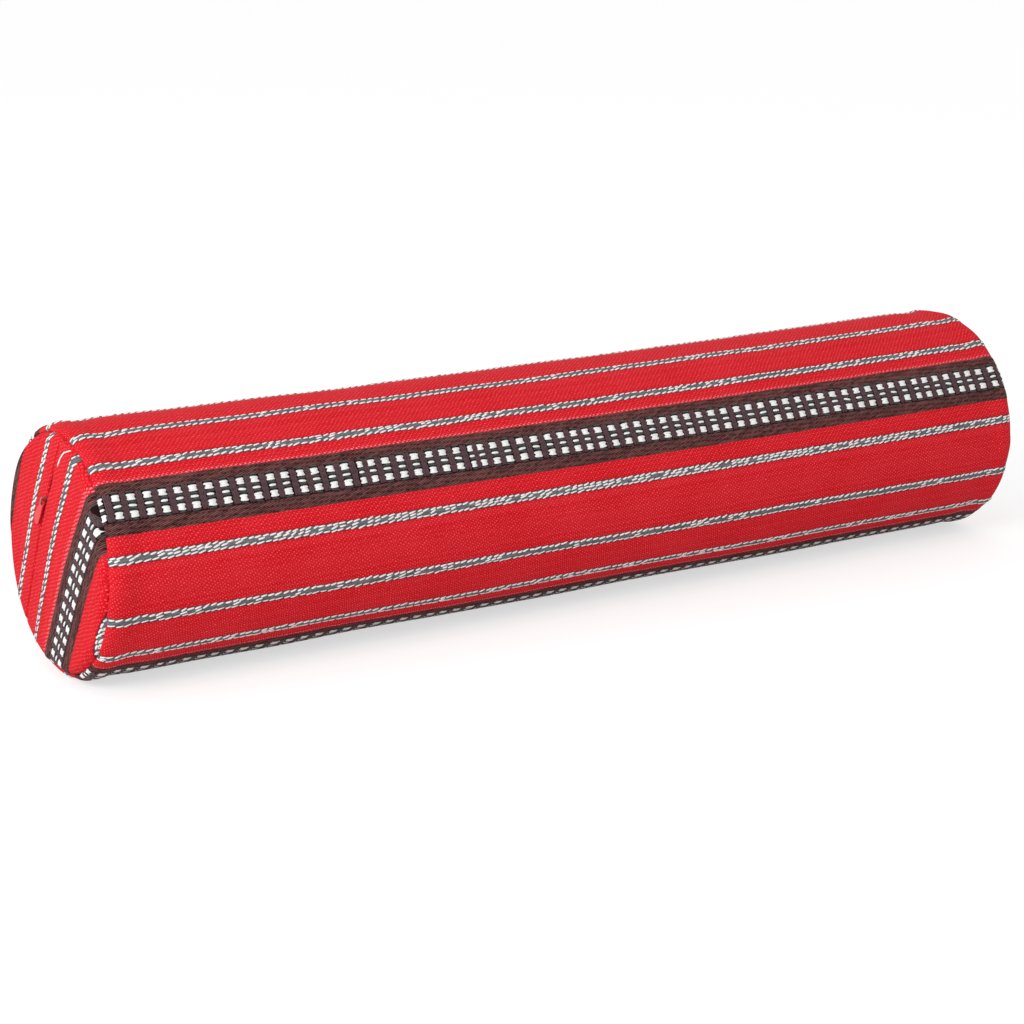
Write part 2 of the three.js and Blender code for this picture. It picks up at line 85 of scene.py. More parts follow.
# %% [markdown]
# ## From flat cloth to the round
# A weaver's stripes run dead straight on the flat cloth, so each panel keeps two coordinates: `u`
# along the stripes and `v` across them. The functions here bend flat cloth to the stuffed shape.
# `place` puts a point of the section into the room, leaning each ring as the ends lean.

# %% Placing a point
def smooth(x, low, high):
    """0 below low, 1 above high, and an even S-shaped rise between."""
    t = np.clip((x - low) / (high - low), 0, 1)
    return t * t * (3 - 2 * t)


def place(x, angle, inset):
    """A point at a distance x along the bolster, an angle up from the front, and an inset."""
    share = 1 - inset / HALF_WIDTH
    y = -HALF_WIDTH * np.cos(angle) * share
    z = RISE * np.sin(angle) * share
    along = np.clip((x - NEAR_SEAM) / LENGTH, 0, 1)
    dip = TOP_DIP * np.sin(np.pi * along) * smooth(np.sin(angle), -0.2, 1.0) * share
    lean = NEAR_LEAN + (FAR_LEAN - NEAR_LEAN) * along
    points = np.stack([x + lean * z, y, z - dip + AXIS_HEIGHT], -1)
    points[..., 2] = soft_floor(points[..., 2])
    return points


def soft_floor(z, rounding=0.8 * MM):
    """Cloth that would sink into the floor lies flat on it, with a small round edge."""
    return 0.5 * (z + np.sqrt(z * z + rounding * rounding))


# %% [markdown]
# ## The weave plan
# The stripes repeat across the cloth: one wide band, then three thin cords. Inside the band, two
# brown ropes guard rows of white floats over a dark ground. All places are millimetres up from
# the middle of the band.

# %% The weave plan
REPEAT = 124.4 * MM
BAND_HALF = 15.9 * MM
CORDS = {"first": 27.6 * MM, "second": 56.4 * MM, "third": -30.0 * MM}
CORD_HALF = {"first": 2.4 * MM, "second": 2.6 * MM, "third": 2.5 * MM}
BROWN_INNER_TOP = 9.0 * MM
BROWN_INNER_BOTTOM = -8.4 * MM
BAND_MIDDLE_ANGLE = math.radians(32.8)  # where the front band runs on the round
SEAM_ANGLE = math.radians(-124.3)  # the lengthwise seam, on the back and underneath


def wrapped(w):
    """The place in the repeat, with the middle of the band at 0."""
    return (w + REPEAT / 2) % REPEAT - REPEAT / 2


ROPE_RISE = 0.55 * MM
CORD_RISE = 0.45 * MM
CORD_ROUND_HALF = 1.7 * MM
CORD_GROOVE = 0.2 * MM
CORD_GROOVE_HALF = 0.6 * MM


def rounded_rise(m, middle, half, rise):
    """A rope or cord woven into the cloth: a round back of this rise, this wide."""
    return rise * np.sqrt(np.clip(1 - ((m - middle) / half) ** 2, 0, 1))


def relief(w):
    """How far the cloth stands up, from the ropes and cords woven into it."""
    m = wrapped(w)
    up = np.zeros_like(m)
    for low, high in ((BROWN_INNER_TOP, BAND_HALF), (-BAND_HALF, BROWN_INNER_BOTTOM)):
        up += rounded_rise(m, (low + high) / 2, (high - low) / 2, ROPE_RISE)
    for label, middle in CORDS.items():
        up += rounded_rise(m, middle, CORD_ROUND_HALF, CORD_RISE)
        from_edge = (abs(m - middle) - CORD_HALF[label]) / CORD_GROOVE_HALF
        up -= CORD_GROOVE * np.exp(-(from_edge ** 2))
    return up


# %% [markdown]
# ## Meshes from grids
# Cloth is a grid of threads, so a grid of points makes a good cloth mesh: straight rows keep the
# stripes straight, and the two UV maps need no unwrapping. `weave` holds real distances for the
# threads, and `stripes` holds the place in the weave plan.

# %% Grid mesh
def facing_out(points, faces):
    """The faces, turned round if they look towards the middle of the bolster."""
    corner = points[faces]
    normal = np.cross(corner[:, 2] - corner[:, 0], corner[:, 3] - corner[:, 1])
    away = corner.mean(1) - np.array([0, 0, AXIS_HEIGHT])
    return faces[:, ::-1] if (normal * away).sum() < 0 else faces


def in_scene(name, data):
    """A new object for a mesh, curve, light or camera, placed in the scene."""
    made = bpy.data.objects.new(name, data)
    bpy.context.scene.collection.objects.link(made)
    return made


def new_piece(name, points, faces, uv_maps, material):
    """A smooth mesh from points and faces. Each UV map has a place for every point."""
    mesh = bpy.data.meshes.new(name)
    mesh.from_pydata(points.reshape(-1, 3).tolist(), [], faces)
    corners = np.empty(len(mesh.loops), np.int32)
    mesh.loops.foreach_get("vertex_index", corners)
    for label, values in uv_maps.items():
        layer = mesh.uv_layers.new(name=label)
        layer.uv.foreach_set("vector", values.reshape(-1, 2)[corners].astype(np.float32).ravel())
    mesh.polygons.foreach_set("use_smooth", [True] * len(mesh.polygons))
    mesh.materials.append(material)
    print(name, len(mesh.polygons), "faces")
    return in_scene(name, mesh)


def grid_faces(points, wrap):
    """Four-sided faces between the points of a grid, looking out."""
    rows, columns = points.shape[:2]
    index = np.arange(rows * columns).reshape(rows, columns)
    right = np.roll(index, -1, 1) if wrap else index[:, 1:]
    left = index if wrap else index[:, :-1]
    faces = np.stack([left[:-1], right[:-1], right[1:], left[1:]], -1).reshape(-1, 4)
    return facing_out(points.reshape(-1, 3), faces).tolist()


def grid_mesh(name, points, weave, stripes, material, wrap=False):
    """A piece from a grid of points. wrap joins the last column to the first."""
    rows, columns = points.shape[:2]
    bake = np.stack(np.meshgrid(np.linspace(0, 1, rows), np.linspace(0, 1, columns),
                                indexing="ij"), -1)
    uv_maps = {"OFBake": bake, "weave": weave, "stripes": stripes}
    return new_piece(name, points, grid_faces(points, wrap), uv_maps, material)


def cushion(piece, slot, *nodes):
    """Attaches a padded piece to the cover's body and hides the CAD parts it stands for; slot is not
    used.
    """
    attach(piece, "cover")
    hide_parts(*nodes)


def on_grid(values, rows, columns, at_row, at_column):
    """Values of a grid read between its points."""
    i = np.clip(np.searchsorted(rows, at_row) - 1, 0, len(rows) - 2)
    j = np.clip(np.searchsorted(columns, at_column) - 1, 0, len(columns) - 2)
    s = ((at_row - rows[i]) / (rows[i + 1] - rows[i]))[..., None]
    t = ((at_column - columns[j]) / (columns[j + 1] - columns[j]))[..., None]
    top = values[i, j] * (1 - t) + values[i, j + 1] * t
    bottom = values[i + 1, j] * (1 - t) + values[i + 1, j + 1] * t
    return top * (1 - s) + bottom * s


def normals_of(points):
    """Unit normals of a grid of points."""
    down = np.gradient(points, axis=0)
    across = np.gradient(points, axis=1)
    normal = np.cross(down, across)
    return normal / np.maximum(np.linalg.norm(normal, axis=-1, keepdims=True), 1e-12)


# %% [markdown]
# ## Node helpers
# A material is a small program of nodes. These helpers keep each step to one line: `node` adds a
# node and sets or links its inputs, and `calc` does arithmetic on numbers or sockets.

# %% Node helpers
def feed(tree, socket, value):
    """Links a socket to another one, or sets its value."""
    if isinstance(value, bpy.types.NodeSocket):
        tree.links.new(value, socket)
    else:
        socket.default_value = value


def node(tree, kind, inputs=None, **settings):
    """Adds a node. inputs maps a socket's name or number to a value or to another socket."""
    made = tree.nodes.new("ShaderNode" + kind)
    for key, value in settings.items():
        setattr(made, key, value)
    for key, value in (inputs or {}).items():
        feed(tree, made.inputs[key], value)
    return made


def calc(tree, operation, *values):
    """One arithmetic step on numbers or sockets."""
    return node(tree, "Math", dict(enumerate(values)), operation=operation).outputs[0]


def blended(tree, factor, first, second):
    """Two colours mixed by a factor."""
    return node(tree, "Mix", {0: factor, 6: first, 7: second}, data_type="RGBA").outputs[2]


def added_up(tree, start, *shares):
    """A start, plus each socket times its share."""
    for socket, share in shares:
        start = calc(tree, "MULTIPLY_ADD", socket, share, start)
    return start


def group(name, inputs, outputs):
    """A new node group with named number sockets, and its two end nodes."""
    tree = bpy.data.node_groups.new(name, "ShaderNodeTree")
    for label, value in inputs.items():
        socket = tree.interface.new_socket(label, in_out="INPUT", socket_type="NodeSocketFloat")
        socket.default_value = value
    for label in outputs:
        tree.interface.new_socket(label, in_out="OUTPUT", socket_type="NodeSocketFloat")
    start = tree.nodes.new("NodeGroupInput")
    end = tree.nodes.new("NodeGroupOutput")
    return tree, start.outputs, end.inputs


def use(tree, name, inputs):
    """Places a node group in a tree."""
    return node(tree, "Group", inputs, node_tree=bpy.data.node_groups[name]).outputs


def colour(red, green, blue):
    """A colour as it is seen on a screen, 0 to 255, turned to the linear light Blender uses."""
    return tuple((c / 255) ** 2.2 for c in (red, green, blue)) + (1,)


def new_material(name):
    material = bpy.data.materials.new(name)
    material.use_nodes = True
    tree = material.node_tree
    shader = tree.nodes["Principled BSDF"]
    return material, tree, shader


def dress(tree, shader, seen, rough, height, strength, depth):
    """Gives the shader a colour, a roughness and the bumps of a height."""
    bump = node(tree, "Bump", {"Height": height, "Strength": strength, "Distance": depth})
    tree.links.new(seen, shader.inputs["Base Color"])
    tree.links.new(rough, shader.inputs["Roughness"])
    tree.links.new(bump.outputs[0], shader.inputs["Normal"])


def noise(tree, place_in, scale, detail):
    """Cloudy noise, from 0 to 1. scale is in clouds per metre."""
    return node(tree, "TexNoise", {"Vector": place_in, "Scale": scale, "Detail": detail}).outputs


def dice(tree, value):
    """One random number for each whole value."""
    return node(tree, "TexWhiteNoise", {"W": value}, noise_dimensions="1D").outputs["Value"]


def rounded(tree, place_in, power):
    """A round hump over each whole step of a place."""
    inside = calc(tree, "SUBTRACT", calc(tree, "FRACT", place_in), 0.5)
    hump = calc(tree, "COSINE", calc(tree, "MULTIPLY", inside, math.pi))
    return calc(tree, "POWER", calc(tree, "MAXIMUM", hump, 0.0), power)


# %% [markdown]
# ## Weave as node groups
# Three structures make up this cloth. The red ground is a plain weave, each thread going over one
# and under one. The brown ropes are a steep twill. The floats are loose twisted yarn. Each is a
# group that puts out a height and a mask, so every material can use it with its own thread size.

# %% Plain weave
FULL_HUMP = 1.0  # a power that keeps a thread round
FLAT_HUMP = 0.45  # and one that flattens its top
WARP_HEIGHT = 0.72  # the warp lies lower than the weft
CREST_SOFT = 0.01


def make_plain_weave():
    tree, given, result = group(
        "plain weave",
        {"Along": 0, "Across": 0, "Thread along": 1.5 * MM, "Thread across": 1.15 * MM},
        ["Height", "Crest", "Thread"],
    )
    along = calc(tree, "DIVIDE", given["Along"], given["Thread along"])
    across = calc(tree, "DIVIDE", given["Across"], given["Thread across"])
    cells = calc(tree, "ADD", calc(tree, "FLOOR", along), calc(tree, "FLOOR", across))
    over = calc(tree, "FLOORED_MODULO", cells, 2.0)
    full = [rounded(tree, place_in, FULL_HUMP) for place_in in (along, across)]
    flat = [rounded(tree, place_in, FLAT_HUMP) for place_in in (along, across)]
    weft = calc(tree, "MULTIPLY", over, calc(tree, "MULTIPLY", full[0], flat[1]))
    warp = calc(tree, "MULTIPLY", calc(tree, "MULTIPLY", flat[0], full[1]), WARP_HEIGHT)
    under = calc(tree, "SUBTRACT", 1.0, over)
    tree.links.new(added_up(tree, weft, (under, warp)), result["Height"])
    crest = calc(tree, "SMOOTH_MIN", weft, 1.0, CREST_SOFT)
    tree.links.new(crest, result["Crest"])
    tree.links.new(dice(tree, calc(tree, "FLOOR", across)), result["Thread"])


make_plain_weave()


# %% Twill rope and twisted yarn
BRICK_STEP = 0.37  # each row of floats starts this share of a float later
BRICK_JITTER = 0.25
LONG_HUMP = 0.3
ROW_HUMP = 0.75
ROWS_APART = 17.3  # keeps the random tone of one row from following another's
STRAND_HUMP = 0.6


def make_brick_floats():
    tree, given, result = group(
        "brick floats",
        {"Along": 0, "Across": 0, "Length": 7.5 * MM, "Width": 1.05 * MM, "Slope": -0.32},
        ["Height", "Tone"],
    )
    slid = calc(tree, "MULTIPLY_ADD", given["Along"], given["Slope"], given["Across"])
    rows = calc(tree, "DIVIDE", slid, given["Width"])
    row = calc(tree, "FLOOR", rows)
    shift = calc(tree, "MULTIPLY", dice(tree, row), BRICK_JITTER)
    shift = calc(tree, "MULTIPLY_ADD", row, BRICK_STEP, shift)
    bricks = calc(tree, "ADD", calc(tree, "DIVIDE", given["Along"], given["Length"]), shift)
    height = calc(tree, "MULTIPLY", rounded(tree, bricks, LONG_HUMP), rounded(tree, rows, ROW_HUMP))
    tree.links.new(height, result["Height"])
    cell = calc(tree, "MULTIPLY_ADD", row, ROWS_APART, calc(tree, "FLOOR", bricks))
    tree.links.new(dice(tree, cell), result["Tone"])


def make_twill():
    tree, given, result = group(
        "twill rope",
        {"Along": 0, "Across": 0, "Strand": 1.5 * MM, "Slope": 0.3},
        ["Height"],
    )
    slid = calc(tree, "MULTIPLY_ADD", given["Along"], given["Slope"], given["Across"])
    strands = calc(tree, "DIVIDE", slid, given["Strand"])
    tree.links.new(rounded(tree, strands, STRAND_HUMP), result["Height"])


def make_stripe_mask():
    tree, given, result = group(
        "stripe mask", {"Across": 0, "Middle": 0, "Half width": 0.01, "Soft": 0.0003}, ["Mask"]
    )
    away = calc(tree, "ABSOLUTE", calc(tree, "SUBTRACT", given["Across"], given["Middle"]))
    edge = node(tree, "MapRange", {
        "Value": away,
        "From Min": calc(tree, "ADD", given["Half width"], given["Soft"]),
        "From Max": calc(tree, "SUBTRACT", given["Half width"], given["Soft"]),
        "To Min": 0.0,
        "To Max": 1.0,
    }, interpolation_type="SMOOTHSTEP")
    tree.links.new(edge.outputs[0], result["Mask"])


make_brick_floats()
make_twill()
make_stripe_mask()

# %% [markdown]
# ## The striped cloth
# One material serves every panel of the cover, because every panel is cut from the same cloth.
# It reads where it is in the weave plan and mixes the ground, the brown ropes, the dark middle of
# the band and the grey cords. Threads catch light on their crests, so the crests are a lighter,
# pinker red than the valleys, and a faint cloud of noise keeps any two hand spans from matching.

# %% The striped cloth
RED_DEEP = colour(183, 3, 18)
RED_CREST = colour(252, 84, 96)
BROWN_DEEP = colour(34, 16, 17)
BROWN_CREST = colour(142, 94, 90)
BAND_GROUND = colour(34, 18, 22)
CORD_DARK = colour(44, 48, 50)
CORD_GREY = colour(124, 128, 130)
CORD_EDGE = colour(96, 30, 38)
PINK_FLECK = colour(240, 140, 152)
STRIPE_WANDER = 0.9 * MM  # how far a stripe's edge strays
WEFT_SLANT = 0.3
BENT_ALONG = 3.0 * MM
BENT_ACROSS = 2.0 * MM
CREST_NARROW = 2.2  # a power that keeps the light to the very top of a thread
FUZZ_SHARE = 0.35
FLECK_ROWS_HALF = 0.9 * MM  # the pink rows beside the band
FLECK_STRENGTH = 0.75
CORD_EDGE_WIDE = 0.45 * MM
CORD_INSET = 0.1 * MM
# How much each thing lightens a colour, and how much is taken off again.
RED_LIGHT = {"height": 0.22, "thread": 0.1, "cloud": 0.16, "less": 0.1}
ROPE_LIGHT = {"height": 0.62, "tone": 0.26, "patch": 0.12, "less": 0.28}
CORD_LIGHT = {"height": 0.55, "tone": 0.4}


def make_cloth():
    material, tree, shader = new_material("striped cloth")
    weave_map = node(tree, "UVMap", uv_map="weave").outputs[0]
    stripe_map = node(tree, "UVMap", uv_map="stripes").outputs[0]
    threads = node(tree, "SeparateXYZ", {0: weave_map}).outputs
    plan = node(tree, "SeparateXYZ", {0: stripe_map}).outputs
    wander = noise(tree, weave_map, 90.0, 2.0)[0]
    drift = calc(tree, "MULTIPLY_ADD", wander, STRIPE_WANDER, -STRIPE_WANDER / 2)
    across = calc(tree, "ADD", plan[1], drift)
    in_repeat = calc(tree, "WRAP", across, REPEAT / 2, -REPEAT / 2)

    bent = node(tree, "SeparateColor", {0: noise(tree, weave_map, 130.0, 2.0)[1]}).outputs
    plain = use(tree, "plain weave", {
        "Along": added_up(tree, threads[0], (threads[1], WEFT_SLANT), (bent[0], BENT_ALONG)),
        "Across": added_up(tree, threads[1], (bent[1], BENT_ACROSS)),
    })
    rope = use(tree, "brick floats", {"Along": threads[0], "Across": threads[1]})
    cord = use(tree, "brick floats", {"Along": threads[0], "Across": threads[1],
                                      "Length": 4.2 * MM, "Width": 0.7 * MM, "Slope": -0.3})
    cloud = noise(tree, weave_map, 28.0, 5.0)[0]
    fuzz = noise(tree, weave_map, 1400.0, 2.0)[0]
    patchy = noise(tree, weave_map, 420.0, 3.0)[0]
    crest = calc(tree, "POWER", plain["Crest"], CREST_NARROW)
    uneven = node(tree, "MapRange", {"Value": patchy, "From Min": 0.3, "From Max": 0.7,
                                     "To Min": 0.0, "To Max": 0.85}).outputs[0]
    lit = added_up(tree, calc(tree, "MULTIPLY", crest, uneven),
                   (plain["Height"], RED_LIGHT["height"]), (plain["Thread"], RED_LIGHT["thread"]),
                   (cloud, RED_LIGHT["cloud"]))
    lit = calc(tree, "SUBTRACT", lit, RED_LIGHT["less"])
    ground = blended(tree, lit, RED_DEEP, RED_CREST)

    rope_light = added_up(tree, calc(tree, "MULTIPLY", rope["Height"], ROPE_LIGHT["height"]),
                          (rope["Tone"], ROPE_LIGHT["tone"]), (uneven, ROPE_LIGHT["patch"]))
    rope_light = calc(tree, "SUBTRACT", rope_light, ROPE_LIGHT["less"])
    brown = blended(tree, rope_light, BROWN_DEEP, BROWN_CREST)

    def stripe(middle, half, soft=0.3 * MM):
        return use(tree, "stripe mask", {"Across": in_repeat, "Middle": middle,
                                         "Half width": half, "Soft": soft})[0]

    fleck_rows = stripe(BAND_HALF + FLECK_ROWS_HALF, FLECK_ROWS_HALF)
    fleck = calc(tree, "MULTIPLY", plain["Crest"], FLECK_STRENGTH)
    flecks = calc(tree, "MULTIPLY", fleck_rows, fleck)
    seen = blended(tree, flecks, ground, PINK_FLECK)
    grey_light = added_up(tree, calc(tree, "MULTIPLY", cord["Height"], CORD_LIGHT["height"]),
                          (cord["Tone"], CORD_LIGHT["tone"]))
    grey = blended(tree, grey_light, CORD_DARK, CORD_GREY)
    for label, middle in CORDS.items():
        half = CORD_HALF[label]
        seen = blended(tree, stripe(middle, half + CORD_EDGE_WIDE), seen, CORD_EDGE)
        seen = blended(tree, stripe(middle, half - CORD_INSET), seen, grey)
    seen = blended(tree, stripe(0.0, BAND_HALF), seen, brown)
    inner_middle = (BROWN_INNER_TOP + BROWN_INNER_BOTTOM) / 2
    inner_half = (BROWN_INNER_TOP - BROWN_INNER_BOTTOM) / 2
    seen = blended(tree, stripe(inner_middle, inner_half), seen, BAND_GROUND)

    in_band = stripe(0.0, BAND_HALF)
    height = calc(tree, "ADD",
                  calc(tree, "MULTIPLY", plain["Height"], calc(tree, "SUBTRACT", 1.0, in_band)),
                  calc(tree, "MULTIPLY", rope["Height"], in_band))
    height = added_up(tree, height, (fuzz, FUZZ_SHARE))
    rough = calc(tree, "MULTIPLY_ADD", plain["Crest"], -0.12, 0.86)
    dress(tree, shader, seen, rough, height, 0.7, 0.3 * MM)
    shader.inputs["Sheen Weight"].default_value = 0.05
    shader.inputs["Sheen Roughness"].default_value = 0.35
    shader.inputs["Sheen Tint"].default_value = colour(255, 110, 120)
    shader.inputs["Specular IOR Level"].default_value = 0.08
    return material


cloth = make_cloth()


# %% [markdown]
# ## Yarn
# The white squares, the dark bars and the slanted stitches of the cords are loose lengths of
# yarn. Their material shows the twist: fine slanted lines down each float, lighter on the crests
# of the twist as painted highlight and darker in its hollows as painted shade, a cloudy random
# tone and a soft fibre sheen.

# %% Yarn materials
YARN_LIGHT = {"least": 0.05, "height": 0.55, "dirt": 0.5}
YARN_STRAND = 0.585 * MM
THREAD_STRAND = 0.27 * MM


def make_yarn(name, deep, crest, strand=YARN_STRAND):
    material, tree, shader = new_material(name)
    along = node(tree, "SeparateXYZ", {0: node(tree, "UVMap", uv_map="weave").outputs[0]}).outputs
    rope = use(tree, "twill rope", {"Along": along[0], "Across": along[1],
                                    "Strand": strand, "Slope": 0.45})
    place_in = node(tree, "TexCoord").outputs["Object"]
    dirt = noise(tree, place_in, 160.0, 4.0)[0]
    # Lighter on the crests of the twist and darker in its hollows: painted highlight and painted
    # shade. The cloud adds a random tone.
    light = added_up(tree, YARN_LIGHT["least"], (rope["Height"], YARN_LIGHT["height"]),
                     (dirt, YARN_LIGHT["dirt"]))
    rough = calc(tree, "MULTIPLY_ADD", dirt, 0.2, 0.68)
    dress(tree, shader, blended(tree, light, deep, crest), rough, rope["Height"], 0.6, 0.2 * MM)
    shader.inputs["Sheen Weight"].default_value = 0.2
    return material


white_yarn = make_yarn("white yarn", colour(176, 174, 170), colour(250, 250, 248))
black_yarn = make_yarn("black yarn", colour(10, 9, 11), colour(44, 42, 46))
plum_yarn = make_yarn("plum yarn", colour(12, 6, 9), colour(78, 36, 46))
red_thread = make_yarn("red sewing thread", colour(112, 8, 18), colour(206, 50, 62),
                       THREAD_STRAND)

# %% [markdown]
# ## The wrapped tube
# The tube panel is one rectangle of cloth. Its rows follow the cloth from the allowance behind
# the near seam, over the shoulder, along the bolster and down behind the far seam. Its columns go
# once round, from one edge of the lengthwise seam to the other. Columns crowd together where the
# weave plan has something to show. A coarse net of the same panel is blown up softly as cloth, and
# only its small unevenness is kept, so the broad form stays what these functions say.

# %% The tube's profile from seam to seam
def shoulder_profile(steps):
    """(distance behind the seam plane, inset) from the tube over the shoulder to the allowance."""
    t = np.linspace(0, 1, steps)
    turn = t * np.pi * 0.5
    back = SHOULDER_LENGTH * (1 - np.sin(turn)) - 0.4 * MM * np.sin(turn)
    inset = SHOULDER_DEPTH * (1 - np.cos(turn))
    valley = [(0.4 * MM, VALLEY_INSET - 0.35 * MM), (VALLEY_DEPTH, VALLEY_INSET),
              (VALLEY_DEPTH + ALLOWANCE / 2, VALLEY_INSET + 0.4 * MM),
              (VALLEY_DEPTH + ALLOWANCE, VALLEY_INSET + 1.2 * MM)]
    return np.concatenate([np.stack([back, inset], -1), valley])


def tube_profile():
    """x, inset and cloth distance of every row of the tube panel."""
    near = shoulder_profile(12)[::-1]
    far = shoulder_profile(12)
    middle = np.linspace(NEAR_SEAM + SHOULDER_LENGTH, FAR_SEAM - SHOULDER_LENGTH, 244)[1:-1]
    x = np.concatenate([NEAR_SEAM + near[:, 0], middle, FAR_SEAM - far[:, 0]])
    inset = np.concatenate([near[:, 1], np.zeros(len(middle)), far[:, 1]])
    steps = np.hypot(np.diff(x), np.diff(inset))
    return x, inset, np.concatenate([[0], np.cumsum(steps)])


def tube_columns():
    """Cloth distances round the tube, from edge to edge of the lengthwise seam."""
    start = (SEAM_ANGLE - BAND_MIDDLE_ANGLE) * HALF_WIDTH
    stop = start + 2 * math.pi * HALF_WIDTH
    fine = np.arange(start, stop, 0.2 * MM)
    m = wrapped(fine)
    busy = (abs(m) < BAND_HALF + 1.0 * MM).astype(float)
    for label, middle in CORDS.items():
        busy = np.maximum(busy, abs(m - middle) < CORD_HALF[label] + 1.0 * MM)
    near_seam = np.minimum(fine - start, stop - fine) < 4 * MM
    weight = np.where(busy + near_seam > 0, 1 / (0.95 * MM), 1 / (2.6 * MM))
    count = np.cumsum(weight) * 0.2 * MM
    places = np.interp(np.arange(0, count[-1]), count, fine)
    return np.unique(np.concatenate([[start], places, [stop]]))


# %% The tube panel
LENGTHWISE_VALLEY = 2.4 * MM


def pucker(x, v):
    """Small gathers beside the ring seams, where the needle drew the cloth in."""
    rng = np.random.default_rng(5)
    near = np.exp(-((x - NEAR_SEAM) / (11 * MM)) ** 2)
    far = np.exp(-((FAR_SEAM - x) / (11 * MM)) ** 2)
    waves = 0
    for _ in range(7):
        length = rng.uniform(14, 46) * MM
        waves = waves + rng.uniform(0.4, 1) * np.sin(2 * np.pi * (v / length + rng.random()))
    return 0.16 * MM * waves * (near + far)


def slack(x, v):
    """Broad shallow unevenness of the filling under the cloth."""
    rng = np.random.default_rng(11)
    waves = 0
    for _ in range(9):
        along, round_it = rng.uniform(70, 260) * MM, rng.integers(1, 5)
        phase = rng.random() * 2 * np.pi
        turn = round_it * v / HALF_WIDTH
        waves = waves + rng.uniform(0.3, 1) * np.sin(2 * np.pi * x / along + turn + phase)
    return 0.14 * MM * waves


def ridge(x):
    """The turned-in allowances lift the cloth beside a ring seam, and it dips just past them."""
    up = 0
    for distance in (x - NEAR_SEAM, FAR_SEAM - x):
        up = up + 0.5 * MM * np.exp(-(((distance - 9 * MM) / (4 * MM)) ** 2))
        up = up - 0.6 * MM * np.exp(-(((distance - 19 * MM) / (7 * MM)) ** 2))
    return up


def lengthwise_valley(v, start, stop):
    """The cloth dives in on both sides of the lengthwise seam."""
    edge = np.minimum(v - start, stop - v)
    return -LENGTHWISE_VALLEY * np.exp(-edge / (1.3 * MM))


tube_x, tube_inset, tube_u = tube_profile()
tube_v = tube_columns()


def tube_points():
    x = tube_x[:, None] + 0 * tube_v[None, :]
    v = tube_v[None, :] + 0 * tube_x[:, None]
    gathered = on_grid(gathers, coarse_u, coarse_v, tube_u[:, None] + 0 * v, v)[..., 0]
    up = relief(v) + pucker(x, v) + slack(x, v)
    up = up + lengthwise_valley(v, tube_v[0], tube_v[-1])
    up = up + ridge(x) - 0.5 * MM  # the tallest yarn stands level with the CAD's cloth
    up = up + gathered
    angle = v / HALF_WIDTH + BAND_MIDDLE_ANGLE
    return place(x, angle, tube_inset[:, None] - up)


def coarse_start(inset):
    """A coarse net of the tube: positions for a given inset of every row."""
    x = np.interp(coarse_u, tube_u, tube_x)[:, None] + 0 * coarse_v[None, :-1]
    v = coarse_v[None, :-1] + 0 * coarse_u[:, None]
    up = pucker(x, v) + slack(x, v)
    return place(x, v / HALF_WIDTH + BAND_MIDDLE_ANGLE, inset[:, None] - up)


CLOTH_MASS = 0.3
CLOTH_STIFFNESS = 60
CLOTH_BENDING = 0.8
FILLING_PRESSURE = 4
SETTLING_FRAMES = 20


def settle_cloth(start, flat):
    """Lets a closed net of cloth find its shape under the pressure of the filling."""
    mesh = bpy.data.meshes.new("settling")
    mesh.from_pydata(start.reshape(-1, 3).tolist(), [], grid_faces(start, wrap=True))
    net = in_scene("settling", mesh)
    net.shape_key_add(name="sewn")
    cut = net.shape_key_add(name="cut")
    cut.data.foreach_set("co", flat.ravel())
    seams = net.vertex_groups.new(name="seams")
    columns = start.shape[1]
    held = list(range(2 * columns))
    held += range((len(start) - 2) * columns, len(start) * columns)
    seams.add(held, 1.0, "REPLACE")
    cloth_step = net.modifiers.new("settle", "CLOTH")
    rules = cloth_step.settings
    rules.rest_shape_key = cut
    rules.vertex_group_mass = "seams"
    rules.mass = CLOTH_MASS
    rules.tension_stiffness = CLOTH_STIFFNESS
    rules.compression_stiffness = CLOTH_STIFFNESS
    rules.bending_stiffness = CLOTH_BENDING
    rules.use_pressure = True
    rules.uniform_pressure_force = FILLING_PRESSURE
    rules.effector_weights.gravity = 0
    cloth_step.point_cache.frame_start = 1
    cloth_step.point_cache.frame_end = SETTLING_FRAMES
    for step in range(1, SETTLING_FRAMES + 1):
        bpy.context.scene.frame_set(step)
    done = net.evaluated_get(bpy.context.evaluated_depsgraph_get()).to_mesh()
    settled = np.empty(len(done.vertices) * 3)
    done.vertices.foreach_get("co", settled)
    bpy.context.scene.frame_set(1)
    bpy.data.objects.remove(net)
    bpy.data.meshes.remove(mesh)
    return settled.reshape(start.shape)


FINE_NET_LENGTH = 40 * MM  # beside each seam, where the net is finer
net_near, net_far = tube_u[16], tube_u[-17]
coarse_u = np.concatenate([
    tube_u[4:16:2], np.linspace(net_near, net_near + FINE_NET_LENGTH, 14)[1:],
    np.linspace(net_near + FINE_NET_LENGTH, net_far - FINE_NET_LENGTH, 36)[1:-1],
    np.linspace(net_far - FINE_NET_LENGTH, net_far, 14)[:-1], tube_u[-17:-4:2]])
coarse_v = np.linspace(tube_v[0], tube_v[-1], 161)
gathers = np.zeros((len(coarse_u), len(coarse_v), 1))
GATHER_LIMIT = 1.2 * MM
BROAD_REACH = 12  # columns of the net on either side that count as its broad bulge
BROAD_SPREAD = 5


